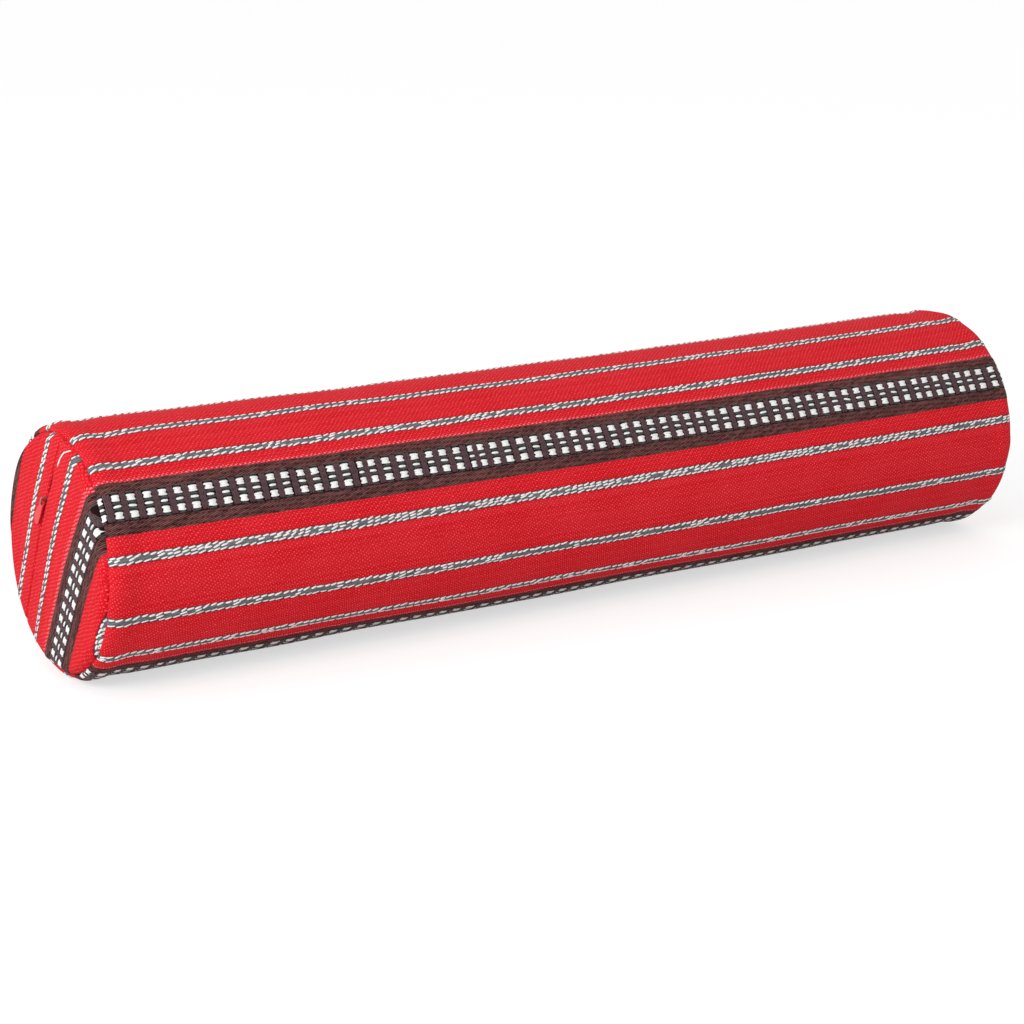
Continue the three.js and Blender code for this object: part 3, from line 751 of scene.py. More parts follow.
def find_gathers():
    """The cloth's own small rise and fall, along its normal, without the broad bulge."""
    sewn = coarse_start(np.interp(coarse_u, tube_u, tube_inset))
    settled = settle_cloth(sewn, coarse_start(0 * coarse_u))
    middle = sewn.mean(1, keepdims=True)
    outward = sewn - middle
    outward /= np.linalg.norm(outward, axis=-1, keepdims=True)
    rise = ((settled - sewn) * outward).sum(-1)
    print("settled rise, mm: mean", round(1000 * rise.mean(), 2), "spread",
          round(1000 * rise.std(), 2), "most", round(1000 * abs(rise).max(), 2))
    shifts = np.arange(-BROAD_REACH, BROAD_REACH + 1)
    weights = np.exp(-((shifts / BROAD_SPREAD) ** 2))
    broad = sum(w * np.roll(rise, k, 1) for k, w in zip(shifts, weights)) / weights.sum()
    rise = np.clip(rise - broad, -GATHER_LIMIT, GATHER_LIMIT)
    print("gathers, mm: most in a row", round(1000 * rise.std(1).max(), 2))
    return np.concatenate([rise, rise[:, :1]], 1)[..., None]


gathers = find_gathers()
tube_grid = tube_points()
weave_uv = np.stack(np.broadcast_arrays(tube_u[:, None], tube_v[None, :]), -1)
tube = grid_mesh("cover_tube", tube_grid, weave_uv, weave_uv, cloth)
cushion(tube, "striped_cloth", "cover_tube_panel")


# %% [markdown]
# ## Floats of yarn
# A float is a length of yarn that runs over the cloth and dips in at both ends, like a grain of
# rice half sunk in sand. One function makes thousands of them: it lays a five-sided tube with
# tapered ends on any surface that can say where a cloth place is in the room.

# %% Laying floats on a surface
STATIONS = np.array([-1, -0.72, 0, 0.72, 1])
TAPER = np.array([0.28, 0.86, 1, 0.86, 0.28])
SECTION = np.arange(5) / 5 * 2 * np.pi + np.pi / 2
FLOAT_UP = 0.12  # of its height, how far a float's middle stands above the cloth
FLOAT_DIVE = 0.35  # of its height, how far its ends dive in
YARN_FLOOR_ROUND = 0.2 * MM
GIRTH_OF_WIDTH = 2.2
CELL_EDGE = 0.08  # each float has its own cell in the bake map, with a free edge
CELL_FILL = 0.84


def lay_floats(name, surface, floats, material):
    """floats has a row for each: u, v, length, width, height, slant, in metres and radians."""
    f = np.asarray(floats, float)
    u, v, length, width, height, slant = (f[:, i, None, None] for i in range(6))
    run = STATIONS[None, :, None] * length / 2
    aside = np.cos(SECTION)[None, None] * TAPER[None, :, None] * width / 2
    lift = np.sin(SECTION)[None, None] * TAPER[None, :, None] * height / 2 + FLOAT_UP * height
    lift = lift - FLOAT_DIVE * height * (1 - TAPER[None, :, None])
    at_u = u + run * np.cos(slant) - aside * np.sin(slant)
    at_v = v + run * np.sin(slant) + aside * np.cos(slant)
    points = surface(at_u, at_v, lift)
    points[..., 2] = soft_floor(points[..., 2], YARN_FLOOR_ROUND)
    count, stations, sides = len(f), len(STATIONS), len(SECTION)
    index = np.arange(count * stations * sides).reshape(count, stations, sides)
    turned = np.roll(index, -1, 2)
    walls = np.stack([index[:, :-1], index[:, 1:], turned[:, 1:], turned[:, :-1]], -1)
    faces = walls.reshape(-1, 4)[:, ::-1].tolist()
    faces += index[:, 0, ::-1].tolist() + index[:, -1].tolist()
    across = np.broadcast_to(np.arange(sides)[None, None] / sides, at_u.shape)
    own = np.stack([run + 0 * at_u, across * width * GIRTH_OF_WIDTH], -1)
    side_by_side = math.ceil(math.sqrt(count))
    cell = np.arange(count)
    corner = np.stack([cell % side_by_side, cell // side_by_side], -1)[:, None, None]
    inside = np.stack(np.broadcast_arrays(
        CELL_EDGE + CELL_FILL * (STATIONS[None, :, None] + 1) / 2,
        CELL_EDGE + CELL_FILL * across), -1)
    spread = (corner + inside) / side_by_side
    piece = new_piece(name, points, faces, {"OFBake": spread, "weave": own}, material)
    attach(piece, "cover")
    return piece


tube_normals = -normals_of(tube_grid)
middle_row, middle_column = len(tube_u) // 2, len(tube_v) // 3
outward = tube_grid[middle_row, middle_column] - np.array([0, 0, AXIS_HEIGHT])
if np.dot(outward[1:], tube_normals[middle_row, middle_column, 1:]) < 0:
    tube_normals = -tube_normals


def on_tube(u, v, lift):
    at = on_grid(tube_grid, tube_u, tube_v, u, v)
    normal = on_grid(tube_normals, tube_u, tube_v, u, v)
    return at + normal * lift[..., None]


# %% [markdown]
# ## The band's squares, dashes and bars
# Across the band go, from the top: a white square, a black dash, a white dash, a black dash and
# another white square, again and again every 9.5 mm. A square is three floats side by side, the
# middle one shorter, so that its sides draw in. Between the columns stand dark bars of three
# strands. Hand weaving is uneven, so every float is a little longer, shorter or askew.

# %% Floats of one band
COLUMN_PITCH = 9.5 * MM
SQUARE_ROWS = (5.8 * MM, -4.5 * MM)
DASH_ROW = 0.7 * MM
BLACK_ROWS = (2.55 * MM, -1.2 * MM)
EDGE_ROWS = (9.0 * MM, -7.6 * MM)  # thin dark threads along the ropes
BAR_ROWS = (6.6 * MM, 2.6 * MM, -1.4 * MM, -5.4 * MM)
BAR_STRAND = 1.28 * MM
SQUARE_PART = 1.22 * MM  # between the three floats of a square
SQUARE_PART_WIDE = 1.85 * MM
SQUARE_SHARE = 0.57  # of a column that its square fills
NARROW_CHANCE = 0.05  # now and then a column is crowded
NARROW_SHARE = 0.72
SLIP = 0.12 * MM


def band_floats(start, stop, middle, seed):
    """White, black and plum floats of one band between two places along the cloth."""
    rng = np.random.default_rng(seed)
    white, black, plum = [], [], []
    u = start
    while u < stop:
        pitch = COLUMN_PITCH * rng.uniform(0.93, 1.07)
        if rng.random() < NARROW_CHANCE:
            pitch *= NARROW_SHARE
        wide = pitch * SQUARE_SHARE
        slip = rng.normal(0, SLIP)
        for row in SQUARE_ROWS:
            for part in (-1, 0, 1):
                length = wide * (0.84 if part == 0 else 1) * rng.uniform(0.95, 1.06)
                v = middle + (row + part * SQUARE_PART)
                white.append((u + slip + rng.normal(0, SLIP), v, length,
                              SQUARE_PART_WIDE, 1.2 * MM, rng.normal(0, 0.05)))
        white.append((u + slip, middle + DASH_ROW, wide * rng.uniform(0.85, 1.0),
                      1.8 * MM, 1.1 * MM, rng.normal(0, 0.08)))
        for row in BLACK_ROWS:
            black.append((u + slip, middle + row, wide * rng.uniform(1.0, 1.2),
                          1.55 * MM, 1.35 * MM, rng.normal(0, 0.06)))
        for row in EDGE_ROWS:
            black.append((u + slip, middle + row, wide * rng.uniform(0.8, 1.1),
                          1.2 * MM, 0.8 * MM, rng.normal(0, 0.08)))
        for strand in (-1, 0, 1):
            for row in BAR_ROWS:
                plum.append((u + pitch / 2 + strand * BAR_STRAND + rng.normal(0, 0.1 * MM),
                             middle + row, 4.9 * MM, 1.45 * MM, 1.0 * MM,
                             math.pi / 2 + rng.normal(0.12, 0.06)))
        u += pitch
    return white, black, plum


# %% Stitches of one cord
MIDDLE_SHARE = {"first": 0.25, "second": 0.2, "third": 0.7}


def cord_stitches(start, stop, middle, seed, label):
    """Slanted white stitches along both edges of a grey cord, and now and then in its middle."""
    rng = np.random.default_rng(seed)
    edge = CORD_HALF[label] - 0.65 * MM
    stitches = []
    for row, share in ((-edge, 1.0), (edge, 1.0), (0.1 * edge, MIDDLE_SHARE[label])):
        u = start + rng.uniform(0, 3) * MM
        while u < stop:
            pitch = rng.uniform(3.8, 5.4) * MM
            slant = rng.normal(0.26, 0.08)
            stitch = (u, middle + row + rng.normal(0, 0.15 * MM), pitch * rng.uniform(0.84, 1.0),
                      1.15 * MM, 0.9 * MM, slant)
            if rng.random() < share:
                stitches.append(stitch)
            u += pitch
    return stitches


# %% The tube's floats
def repeats_between(low, high, offset):
    """Every place between low and high that has this offset in the repeat."""
    first = math.ceil((low - offset) / REPEAT)
    last = math.floor((high - offset) / REPEAT)
    return [offset + k * REPEAT for k in range(first, last + 1)]


EDGE = 3 * MM
row_start = tube_u[3] + 1.5 * MM
row_stop = tube_u[-4] - 1.5 * MM
white, black, plum, stitches = [], [], [], []
for k, middle in enumerate(repeats_between(tube_v[0] + BAND_HALF, tube_v[-1] - BAND_HALF, 0.0)):
    for made, into in zip(band_floats(row_start, row_stop, middle, 20 + k), (white, black, plum)):
        into += made
for label, offset in CORDS.items():
    for k, middle in enumerate(repeats_between(tube_v[0] + EDGE, tube_v[-1] - EDGE, offset)):
        stitches += cord_stitches(row_start, row_stop, middle, 40 + k, label)
lay_floats("tube_white_floats", on_tube, white, white_yarn)
lay_floats("tube_black_floats", on_tube, black, black_yarn)
lay_floats("tube_plum_bars", on_tube, plum, plum_yarn)
lay_floats("tube_cord_stitches", on_tube, stitches, white_yarn)

# %% [markdown]
# ## The end rounds
# A round is cut from the same cloth, so its stripes run straight across it. The near one was cut
# with the stripes leaning towards the front at the top, and near the top they bend further that
# way. Each half has a D-shaped outline: the ring seam on one side and the fold over the zip on the
# other. Rings of points shrink from that outline to a middle point.

# %% Places on an end round
ZIP_TILT = math.radians(24.4)
ZIP_OFFSET = 18.6 * MM
STRIPES_DOWN = np.array([math.sin(ZIP_TILT), -math.cos(ZIP_TILT)])  # y and z, down the stripes
STRIPES_ACROSS = np.array([math.cos(ZIP_TILT), math.sin(ZIP_TILT)])  # towards the back
BEND_FROM = 13 * MM  # above this place the front band bends towards the front
BEND_SLOPE = 0.075
BEND_CURVE = 0.6  # per metre
CROWN = 6.0 * MM
RIM_DEPTH = 0.9 * MM
RIM_ROUND = 5.0 * MM
RIM_SHARE = 1 - VALLEY_INSET / HALF_WIDTH


def rim_distance(y, z):
    """How far inside the ring seam a place on the round is."""
    low = -AXIS_HEIGHT * RIM_SHARE
    radius = np.hypot(y / HALF_WIDTH, z / RISE) / RIM_SHARE
    inside = (1 - radius) * HALF_WIDTH * RIM_SHARE
    return np.minimum(inside, z - low)


def round_height(y, z):
    """How far the cloth of an end round stands out from the plane of its ring seam."""
    radius = np.clip(np.hypot(y / HALF_WIDTH, z / RISE) / RIM_SHARE, 0, 1)
    crown = CROWN * (1 - 0.3 * radius ** 2)
    edge = np.clip(1 - rim_distance(y, z) / RIM_ROUND, 0, 1)
    fall = 1 - np.sqrt(np.clip(1 - edge ** 2, 0, 1))
    return crown - (crown + RIM_DEPTH) * fall


def round_point(side, y, z, out):
    """A place on an end round, in the room. side is -1 at the near end and 1 at the far end."""
    seam, lean = (NEAR_SEAM, NEAR_LEAN) if side < 0 else (FAR_SEAM, FAR_LEAN)
    x = seam + side * out * math.cos(lean) + z * math.sin(lean)
    up = AXIS_HEIGHT + z * math.cos(lean) - side * out * math.sin(lean)
    return np.stack([x, y + 0 * out, soft_floor(up)], -1)


# %% Where the stripes of the rounds fall
# Rows of (place across the round, place in the weave plan, share of the bend), front to back.
PLAN_UNITS = (MM, MM, 1)
NEAR_FRONT_PLAN = np.array([(-92, -47, 1), (-72.2, -32.9, 1), (-67.8, -27.3, 1),
                            (-49.4, -15.9, 1), (-18.3, 15.9, 1), (-2.0, 24.6, 0.4),
                            (2.8, 30.6, 0.15), (20, 42, 0)]) * PLAN_UNITS
NEAR_REAR_PLAN = np.array([(14, 74, 0), (32.2, 93.3, 0), (37.0, 99.3, 0), (60.5, 108.5, 0),
                           (92, 140, 0)]) * PLAN_UNITS
FAR_PLAN = np.array([(-95, -95, 0), (95, 95, 0)]) * PLAN_UNITS
BEND_STEPS = 14  # enough for a place on a bent stripe to stop moving


def top_bend(down):
    """How far the cut of the cloth bends the stripes, at a place down the round."""
    above = BEND_FROM - down
    return -(BEND_SLOPE * above + BEND_CURVE * above * abs(above))


def stripe_place(across, down, plan):
    """The place in the weave plan of a place on a round."""
    place_in_plan = np.interp(across, plan[:, 0], plan[:, 1])
    for _ in range(BEND_STEPS):
        straight = across - top_bend(down) * np.interp(place_in_plan, plan[:, 1], plan[:, 2])
        place_in_plan = np.interp(straight, plan[:, 0], plan[:, 1])
    return place_in_plan


def on_round(across, down):
    """y and z of a place across and down the stripes of a round."""
    return (across * STRIPES_ACROSS[0] + down * STRIPES_DOWN[0],
            across * STRIPES_ACROSS[1] + down * STRIPES_DOWN[1])


def plan_to_round(u, v, plan):
    """y and z on the round of a place in the weave plan."""
    straight = np.interp(v, plan[:, 1], plan[:, 0])
    return on_round(straight + top_bend(u) * np.interp(v, plan[:, 1], plan[:, 2]), u)


def rim_at(angle):
    """The ring seam's outline at an angle up from the front, as y and z."""
    y = -HALF_WIDTH * np.cos(angle) * RIM_SHARE
    z = np.maximum(RISE * np.sin(angle), -AXIS_HEIGHT) * RIM_SHARE
    return np.stack([y, z], -1)


# %% [markdown]
# ## The near round, in two halves
# The folded edges of the halves roll down over the zip and turn under. They nearly meet, and part
# a little just above the slider, because the zip isn't quite closed.

# %% Fold over the zip
FOLD_ROUND = 1.7 * MM
FOLD_SHORT = 0.6 * MM  # the fold stops short of the ring seam
HALF_GAP = 0.55 * MM
GAPE = 1.0 * MM
GAPE_TOP = -44 * MM
GAPE_FOOT = -27 * MM


def half_gap(down):
    """Half the gap between the folds, at a place down the zip line."""
    open_part = np.clip((down - GAPE_TOP) / (GAPE_FOOT - GAPE_TOP), 0, 1)
    return HALF_GAP + GAPE * np.sin(np.pi * open_part) ** 1.5 * (down < GAPE_FOOT)


def fold_drop(from_fold):
    """How far the cloth rolls down at a distance from the folded edge."""
    edge = np.clip(1 - from_fold / FOLD_ROUND, 0, 1)
    return FOLD_ROUND * (1 - np.sqrt(np.clip(1 - edge ** 2, 0, 1)))


def half_outline(side, count):
    """Corner points of a half round: down the fold, then round the ring seam. side -1 is front."""
    limit = math.sqrt((RISE * RIM_SHARE) ** 2 - ZIP_OFFSET ** 2) - FOLD_SHORT
    down = np.linspace(-limit, limit, count)
    across = ZIP_OFFSET + side * half_gap(down)
    fold = across[:, None] * STRIPES_ACROSS + down[:, None] * STRIPES_DOWN
    # The ring seam is followed from the foot of the fold to its head: by the front, or by the back.
    first, last = (math.atan2(p[1] / RISE, -p[0] / HALF_WIDTH) for p in (fold[-1], fold[0]))
    if (first - last) * side < 0:
        first += side * 2 * math.pi
    arc = rim_at(np.linspace(first, last, 2 * count)[1:-1])
    return np.concatenate([fold, arc])


def close_middle(piece):
    """Welds the innermost ring of a round into one point."""
    shape = bmesh.new()
    shape.from_mesh(piece.data)
    bmesh.ops.remove_doubles(shape, verts=shape.verts, dist=0.001 * MM)
    shape.to_mesh(piece.data)
    shape.free()


def panel_out(y, z, in_plan, fold_side, across, down):
    """How far the cloth of a round stands out, with its yarn and its roll over the fold."""
    out = round_height(y, z) + relief(in_plan) + round_slack(y, z)
    if fold_side:
        out = out - fold_drop(fold_side * (across - ZIP_OFFSET) - half_gap(down))
    return out


def round_panel(name, side, outline, middle, plan, node_name, fold_side=0):
    """A panel of an end round. side is -1 at the near end, fold_side is -1 for the front half."""
    rim_shares = 1 - 0.015 * np.linspace(0.85, 0, 6) ** 1.5
    shares = np.concatenate([np.linspace(0, 0.9, 27), np.linspace(0.915, 0.985, 9), rim_shares])
    flat = middle + (outline - middle)[None] * shares[:, None, None]
    y, z = flat[..., 0], flat[..., 1]
    across = flat @ STRIPES_ACROSS
    down = flat @ STRIPES_DOWN
    in_plan = stripe_place(across, down, plan)
    points = round_point(side, y, z, panel_out(y, z, in_plan, fold_side, across, down))
    points = np.concatenate([points, points[-1:] - np.array([side * TURNED_IN, 0, 0])])
    weave = np.stack([down, across], -1)
    stripes = np.stack([down, in_plan], -1)
    weave = np.concatenate([weave, weave[-1:]])
    stripes = np.concatenate([stripes, stripes[-1:]])
    if fold_side < 0:
        points, weave, stripes = (a[:, ::-1] for a in (points, weave, stripes))
    piece = grid_mesh(name, points, weave, stripes, cloth, wrap=True)
    close_middle(piece)
    cushion(piece, "striped_cloth", node_name)


def round_slack(y, z):
    """Shallow unevenness of the filling under an end round."""
    return 0.25 * MM * (np.sin(y / (17 * MM) + 1.0) * np.cos(z / (21 * MM))
                        + 0.6 * np.sin(z / (12 * MM) - y / (30 * MM)))


TURNED_IN = 3.0 * MM  # cloth that turns in behind a ring seam
for name, fold_side, plan, node_name in (
        ("near_round_front", -1, NEAR_FRONT_PLAN, "near_end_panel_front"),
        ("near_round_rear", 1, NEAR_REAR_PLAN, "near_end_panel_rear")):
    outline = half_outline(fold_side, 90)
    round_panel(name, -1, outline, outline.mean(0), plan, node_name, fold_side)


# %% The far round
far_outline = rim_at(np.linspace(0, 2 * math.pi, 240, endpoint=False))
round_panel("far_round", 1, far_outline, np.zeros(2), FAR_PLAN, "far_end_panel")


# %% Floats of the rounds
def round_surface(side, plan, fold_side=0):
    def surface(u, v, lift):
        y, z = plan_to_round(u, v, plan)
        across = y * STRIPES_ACROSS[0] + z * STRIPES_ACROSS[1]
        return round_point(side, y, z, panel_out(y, z, v, fold_side, across, u) + lift)
    return surface


SEAM_MARGIN = -1.0 * MM
FOLD_MARGIN = 2 * MM


def inside_round(floats, plan, fold_side):
    """Keeps the floats that lie on the round, clear of the ring seam and the fold."""
    f = np.asarray(floats, float)
    keep = np.ones(len(f), bool)
    for end in (-0.3, 0.3):
        u = f[:, 0] + end * f[:, 2] * np.cos(f[:, 5])
        v = f[:, 1] + end * f[:, 2] * np.sin(f[:, 5])
        y, z = plan_to_round(u, v, plan)
        keep &= rim_distance(y, z) > SEAM_MARGIN
        if fold_side:
            across = y * STRIPES_ACROSS[0] + z * STRIPES_ACROSS[1]
            keep &= fold_side * (across - ZIP_OFFSET) > FOLD_MARGIN
    return f[keep]


def round_floats(name, side, plan, seed, fold_side=0):
    low, high = plan[0, 1], plan[-1, 1]
    white, black, plum = [], [], []
    for k, middle in enumerate(repeats_between(low - BAND_HALF, high + BAND_HALF, 0.0)):
        for made, into in zip(band_floats(-HALF_WIDTH, HALF_WIDTH, middle, seed + k),
                              (white, black, plum)):
            into += made
    for label, offset in CORDS.items():
        for k, middle in enumerate(repeats_between(low, high, offset)):
            white += cord_stitches(-HALF_WIDTH, HALF_WIDTH, middle, seed + 7 + k, label)
    surface = round_surface(side, plan, fold_side)
    for label, floats, material in (("white", white, white_yarn), ("black", black, black_yarn),
                                    ("plum", plum, plum_yarn)):
        kept = inside_round(floats, plan, fold_side) if floats else []
        if len(kept):
            lay_floats(f"{name}_{label}_floats", surface, kept, material)


round_floats("near_round_front", -1, NEAR_FRONT_PLAN, 60, -1)
round_floats("near_round_rear", -1, NEAR_REAR_PLAN, 70, 1)
round_floats("far_round", 1, FAR_PLAN, 80)


# %% One loose yarn
# A slub: a thick white yarn that strays over the top of the front half, near the seam.
FLOAT_UNITS = (MM, MM, MM, MM, MM, 1)
slub = np.array([(-55.5, 37.9, 8.0, 0.8, 0.7, 0.11), (-62.0, 36.5, 7.4, 0.8, 0.7, 0.3),
                 (-66.4, 34.6, 4.6, 0.7, 0.6, 0.5)]) * FLOAT_UNITS
lay_floats("near_round_slub", round_surface(-1, NEAR_FRONT_PLAN, -1), slub, white_yarn)

# %% [markdown]
# ## Stitches
# Each seam is held by a row of lock stitches. They lie deep in the valley between two cloths and
# show as short red threads when the cloth is pulled apart. A ring seam has one row all the way
# round, the tube has one row along its back, and the round's two halves are sewn shut above and
# below the zip.

# %% Stitches of the seams
STITCH = 3.2 * MM
STITCH_PITCH = 3.7 * MM
STITCH_WIDE = 0.8 * MM


def stitch_row(name, surface, start, stop, node_name):
    rng = np.random.default_rng(3)
    places = np.arange(start, stop, STITCH_PITCH)
    rows = [(u, 0.0, STITCH, STITCH_WIDE, STITCH_WIDE, rng.normal(0, 0.04)) for u in places]
    piece = lay_floats(name, surface, rows, red_thread)
    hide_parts(node_name)


def in_ring_valley(side):
    def surface(u, v, lift):
        angle = u / (HALF_WIDTH * RIM_SHARE)
        share = RIM_SHARE + (lift - v - 0.9 * MM) / HALF_WIDTH
        y = -HALF_WIDTH * np.cos(angle) * share
        z = np.maximum(RISE * np.sin(angle), -AXIS_HEIGHT + 2 * MM) * share
        return round_point(side, y, z, np.zeros_like(y) - 1.9 * MM)
    return surface


def in_lengthwise_valley(u, v, lift):
    return place(u, SEAM_ANGLE + v / HALF_WIDTH, 3.2 * MM - lift)


def in_zip_line(u, v, lift):
    y, z = on_round(ZIP_OFFSET + v, u)
    return round_point(-1, y, z, round_height(y, z) - FOLD_ROUND + 0.2 * MM + lift)


ring_round = 2 * math.pi * HALF_WIDTH * RIM_SHARE - STITCH_PITCH / 2
stitch_row("near_ring_stitches", in_ring_valley(-1), 0, ring_round, "near_ring_seam_thread")
stitch_row("far_ring_stitches", in_ring_valley(1), 0, ring_round, "far_ring_seam_thread")
stitch_row("lengthwise_stitches", in_lengthwise_valley, NEAR_SEAM + 12 * MM, FAR_SEAM - 12 * MM,
           "lengthwise_seam_thread")
stitch_row("zip_seam_stitches_upper", in_zip_line, -64 * MM, -47 * MM, "zip_seam_thread_upper")
stitch_row("zip_seam_stitches_lower", in_zip_line, 49 * MM, 62 * MM, "zip_seam_thread_lower")

# %% [markdown]
# ## The zip
# The coils of the zip are nylon springs, pressed flat and sewn to their tapes. Each is a helix
# here, because through the gape above the slider one looks straight at its turns. The slider, its
# stops and the pull keep their CAD shape, with rounded edges in a lighter colour, a painted
# highlight.

# %% Coils
COIL_PITCH = 1.35 * MM
COIL_STEPS = 12  # points in each turn
COIL_START = -42.3 * MM
COIL_STOP = 43.7 * MM
COIL_FROM_LINE = 1.85 * MM
COIL_HALF_WIDE = 0.88 * MM
COIL_HALF_HIGH = 0.62 * MM
COIL_LEVEL = -0.01 * MM
COIL_WIRE = 0.28 * MM


def coil(name, side, node_name):
    turns = (COIL_STOP - COIL_START) / COIL_PITCH
    angle = np.linspace(0, 2 * np.pi * turns, int(turns * COIL_STEPS))
    down = np.linspace(COIL_START, COIL_STOP, len(angle))
    y, z = on_round(ZIP_OFFSET + side * (COIL_FROM_LINE + COIL_HALF_WIDE * np.cos(angle)), down)
    out = COIL_LEVEL + COIL_HALF_HIGH * np.sin(angle)
    points = round_point(-1, y, z, out)
    curve = bpy.data.curves.new(name, "CURVE")
    curve.dimensions = "3D"
    spline = curve.splines.new("POLY")
    spline.points.add(len(points) - 1)
    spline.points.foreach_set("co", np.concatenate([points, np.ones((len(points), 1))], 1).ravel())
    curve.bevel_depth = COIL_WIRE
    curve.bevel_resolution = 1
    curve.use_fill_caps = True
    curve.materials.append(nylon)
    piece = in_scene(name, curve)
    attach(piece, "cover")
    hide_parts(node_name)


# %% Finishes of the zip
def edge_highlighted(name, slot_colours, metallic, roughness, edge_highlight_colours):
    """A finish and a lighter copy of it for the faces that a bevel makes: a painted edge highlight.
    """
    pair = []
    for label, (deep, light) in (("", slot_colours), (" worn edge", edge_highlight_colours)):
        material, tree, shader = new_material(name + label)
        place_in = node(tree, "TexCoord").outputs["Object"]
        wear = noise(tree, place_in, 700.0, 6.0)[0]
        rough = calc(tree, "MULTIPLY_ADD", wear, 0.3, roughness)
        dress(tree, shader, blended(tree, wear, deep, light), rough, wear, 0.15, 0.05 * MM)
        shader.inputs["Metallic"].default_value = metallic
        pair.append(material)
    return pair


# The second pair of colours of each finish is lighter and goes on its bevelled edges as a painted
# highlight.
metal = edge_highlighted("plated metal", (colour(128, 126, 126), colour(190, 188, 184)), 1.0, 0.2,
                  (colour(200, 198, 194), colour(246, 244, 240)))
enamel = edge_highlighted("red enamel", (colour(190, 10, 24), colour(214, 30, 44)), 0.0, 0.25,
                   (colour(244, 150, 158), colour(255, 206, 208)))
nylon = edge_highlighted("nylon", (colour(120, 12, 22), colour(170, 34, 44)), 0.0, 0.3,
                  (colour(150, 24, 34), colour(200, 60, 70)))[0]
coil("zip_coil_turns_front", -1, "zip_coil_front")
coil("zip_coil_turns_rear", 1, "zip_coil_rear")

# %% [markdown]
# ## Inside the cover
# A calico case holds a fleece wrap and a foam core. None of it shows while the cover is closed,
# but each has its own shape and finish. All of them dip and lean as the cover does, a few
# millimetres further in.

# %% Cloth and filling finishes
def make_plain_cloth(name, deep, crest, thread):
    material, tree, shader = new_material(name)
    place_in = node(tree, "SeparateXYZ", {0: node(tree, "UVMap", uv_map="weave").outputs[0]})
    weave = use(tree, "plain weave", {"Along": place_in.outputs[0], "Across": place_in.outputs[1],
                                      "Thread along": thread, "Thread across": thread})
    height = weave["Height"]
    rough = calc(tree, "MULTIPLY_ADD", height, -0.1, 0.9)
    # Lighter on the thread crests and darker between the threads: painted highlight and painted
    # shade.
    dress(tree, shader, blended(tree, height, deep, crest), rough, height, 0.5, thread / 4)
    shader.inputs["Sheen Weight"].default_value = 0.15
    return material


def make_filling(name, deep, light, cell, bumpy):
    """Foam or fleece: cells or tufts, seen as a bumpy noise."""
    material, tree, shader = new_material(name)
    place_in = node(tree, "TexCoord").outputs["Object"]
    cells = node(tree, "TexVoronoi", {"Vector": place_in, "Scale": 1 / cell})
    tufts = noise(tree, place_in, 0.25 / cell, 6.0)[0]
    mixed = added_up(tree, calc(tree, "MULTIPLY", cells.outputs[0], 0.6), (tufts, 0.7))
    rough = calc(tree, "MULTIPLY_ADD", tufts, 0.1, 0.88)
    dress(tree, shader, blended(tree, mixed, deep, light), rough, mixed, bumpy, cell / 2)
    return material


tape_finish = make_filling("zip tape", colour(120, 10, 20), colour(196, 44, 56), 0.5 * MM, 0.4)
calico = make_plain_cloth("calico", colour(205, 196, 176), colour(244, 238, 224), 0.7 * MM)
fleece = make_filling("wadding", colour(222, 222, 216), colour(252, 252, 250), 1.6 * MM, 0.9)
foam = make_filling("foam", colour(214, 194, 128), colour(246, 234, 182), 1.1 * MM, 0.6)


# %% Closed forms inside the cover
BOTTOM_CLOTH = 0.6 * MM


def inner_form(name, inset, from_seam, edge, finish, slot, nodes, across_steps):
    """A closed, softly edged form: near round, wrapped side and far round in one skin."""
    near_x, far_x = NEAR_SEAM + from_seam, FAR_SEAM - from_seam
    turn = np.linspace(0, math.pi / 2, 7)
    disc = np.linspace(1, 0.02, 12)[1:]
    inner = HALF_WIDTH - inset - edge
    side_x = np.linspace(near_x + edge, far_x - edge, 90)[1:-1]
    flat = np.ones(len(disc))
    x = np.concatenate([near_x * flat, near_x + edge * (1 - np.cos(turn)), side_x,
                        far_x - edge * (1 - np.cos(turn))[::-1], far_x * flat])
    curve_in = inset + edge * (1 - np.sin(turn))
    disc_in = HALF_WIDTH - inner * disc
    depth = np.concatenate([disc_in[::-1], curve_in, np.full(len(side_x), inset),
                            curve_in[::-1], disc_in])
    angle = np.linspace(0, 2 * math.pi, across_steps, endpoint=False)
    points = place(x[:, None] + 0 * angle[None], angle[None] + 0 * x[:, None], depth[:, None])
    points[..., 2] = np.maximum(points[..., 2], inset - BOTTOM_CLOTH)
    along = np.concatenate([[0], np.cumsum(np.hypot(np.diff(x), np.diff(depth)))])
    weave = np.stack(np.broadcast_arrays(along[:, None], angle[None] * HALF_WIDTH), -1)
    piece = grid_mesh(name, points, weave, weave, finish, wrap=True)
    close_ends(piece)
    cushion(piece, slot, *nodes)


def close_ends(piece):
    """Fills the two small holes in the middle of the rounds."""
    shape = bmesh.new()
    shape.from_mesh(piece.data)
    open_edges = [e for e in shape.edges if e.is_boundary]
    bmesh.ops.holes_fill(shape, edges=open_edges, sides=0)
    bmesh.ops.recalc_face_normals(shape, faces=shape.faces)
    shape.to_mesh(piece.data)
    shape.free()


inner_form("inner_case", 3.6 * MM, 3.2 * MM, 9 * MM, calico, "case_cloth",
           ("inner_case_tube", "inner_case_near_end", "inner_case_far_end"), 120)
inner_form("wadding_roll", 5.4 * MM, 9 * MM, 6 * MM, fleece, "wadding", ("wadding_wrap",), 96)
inner_form("foam_bolster", 11.5 * MM, 12 * MM, 6 * MM, foam, "foam", ("foam_core",), 96)
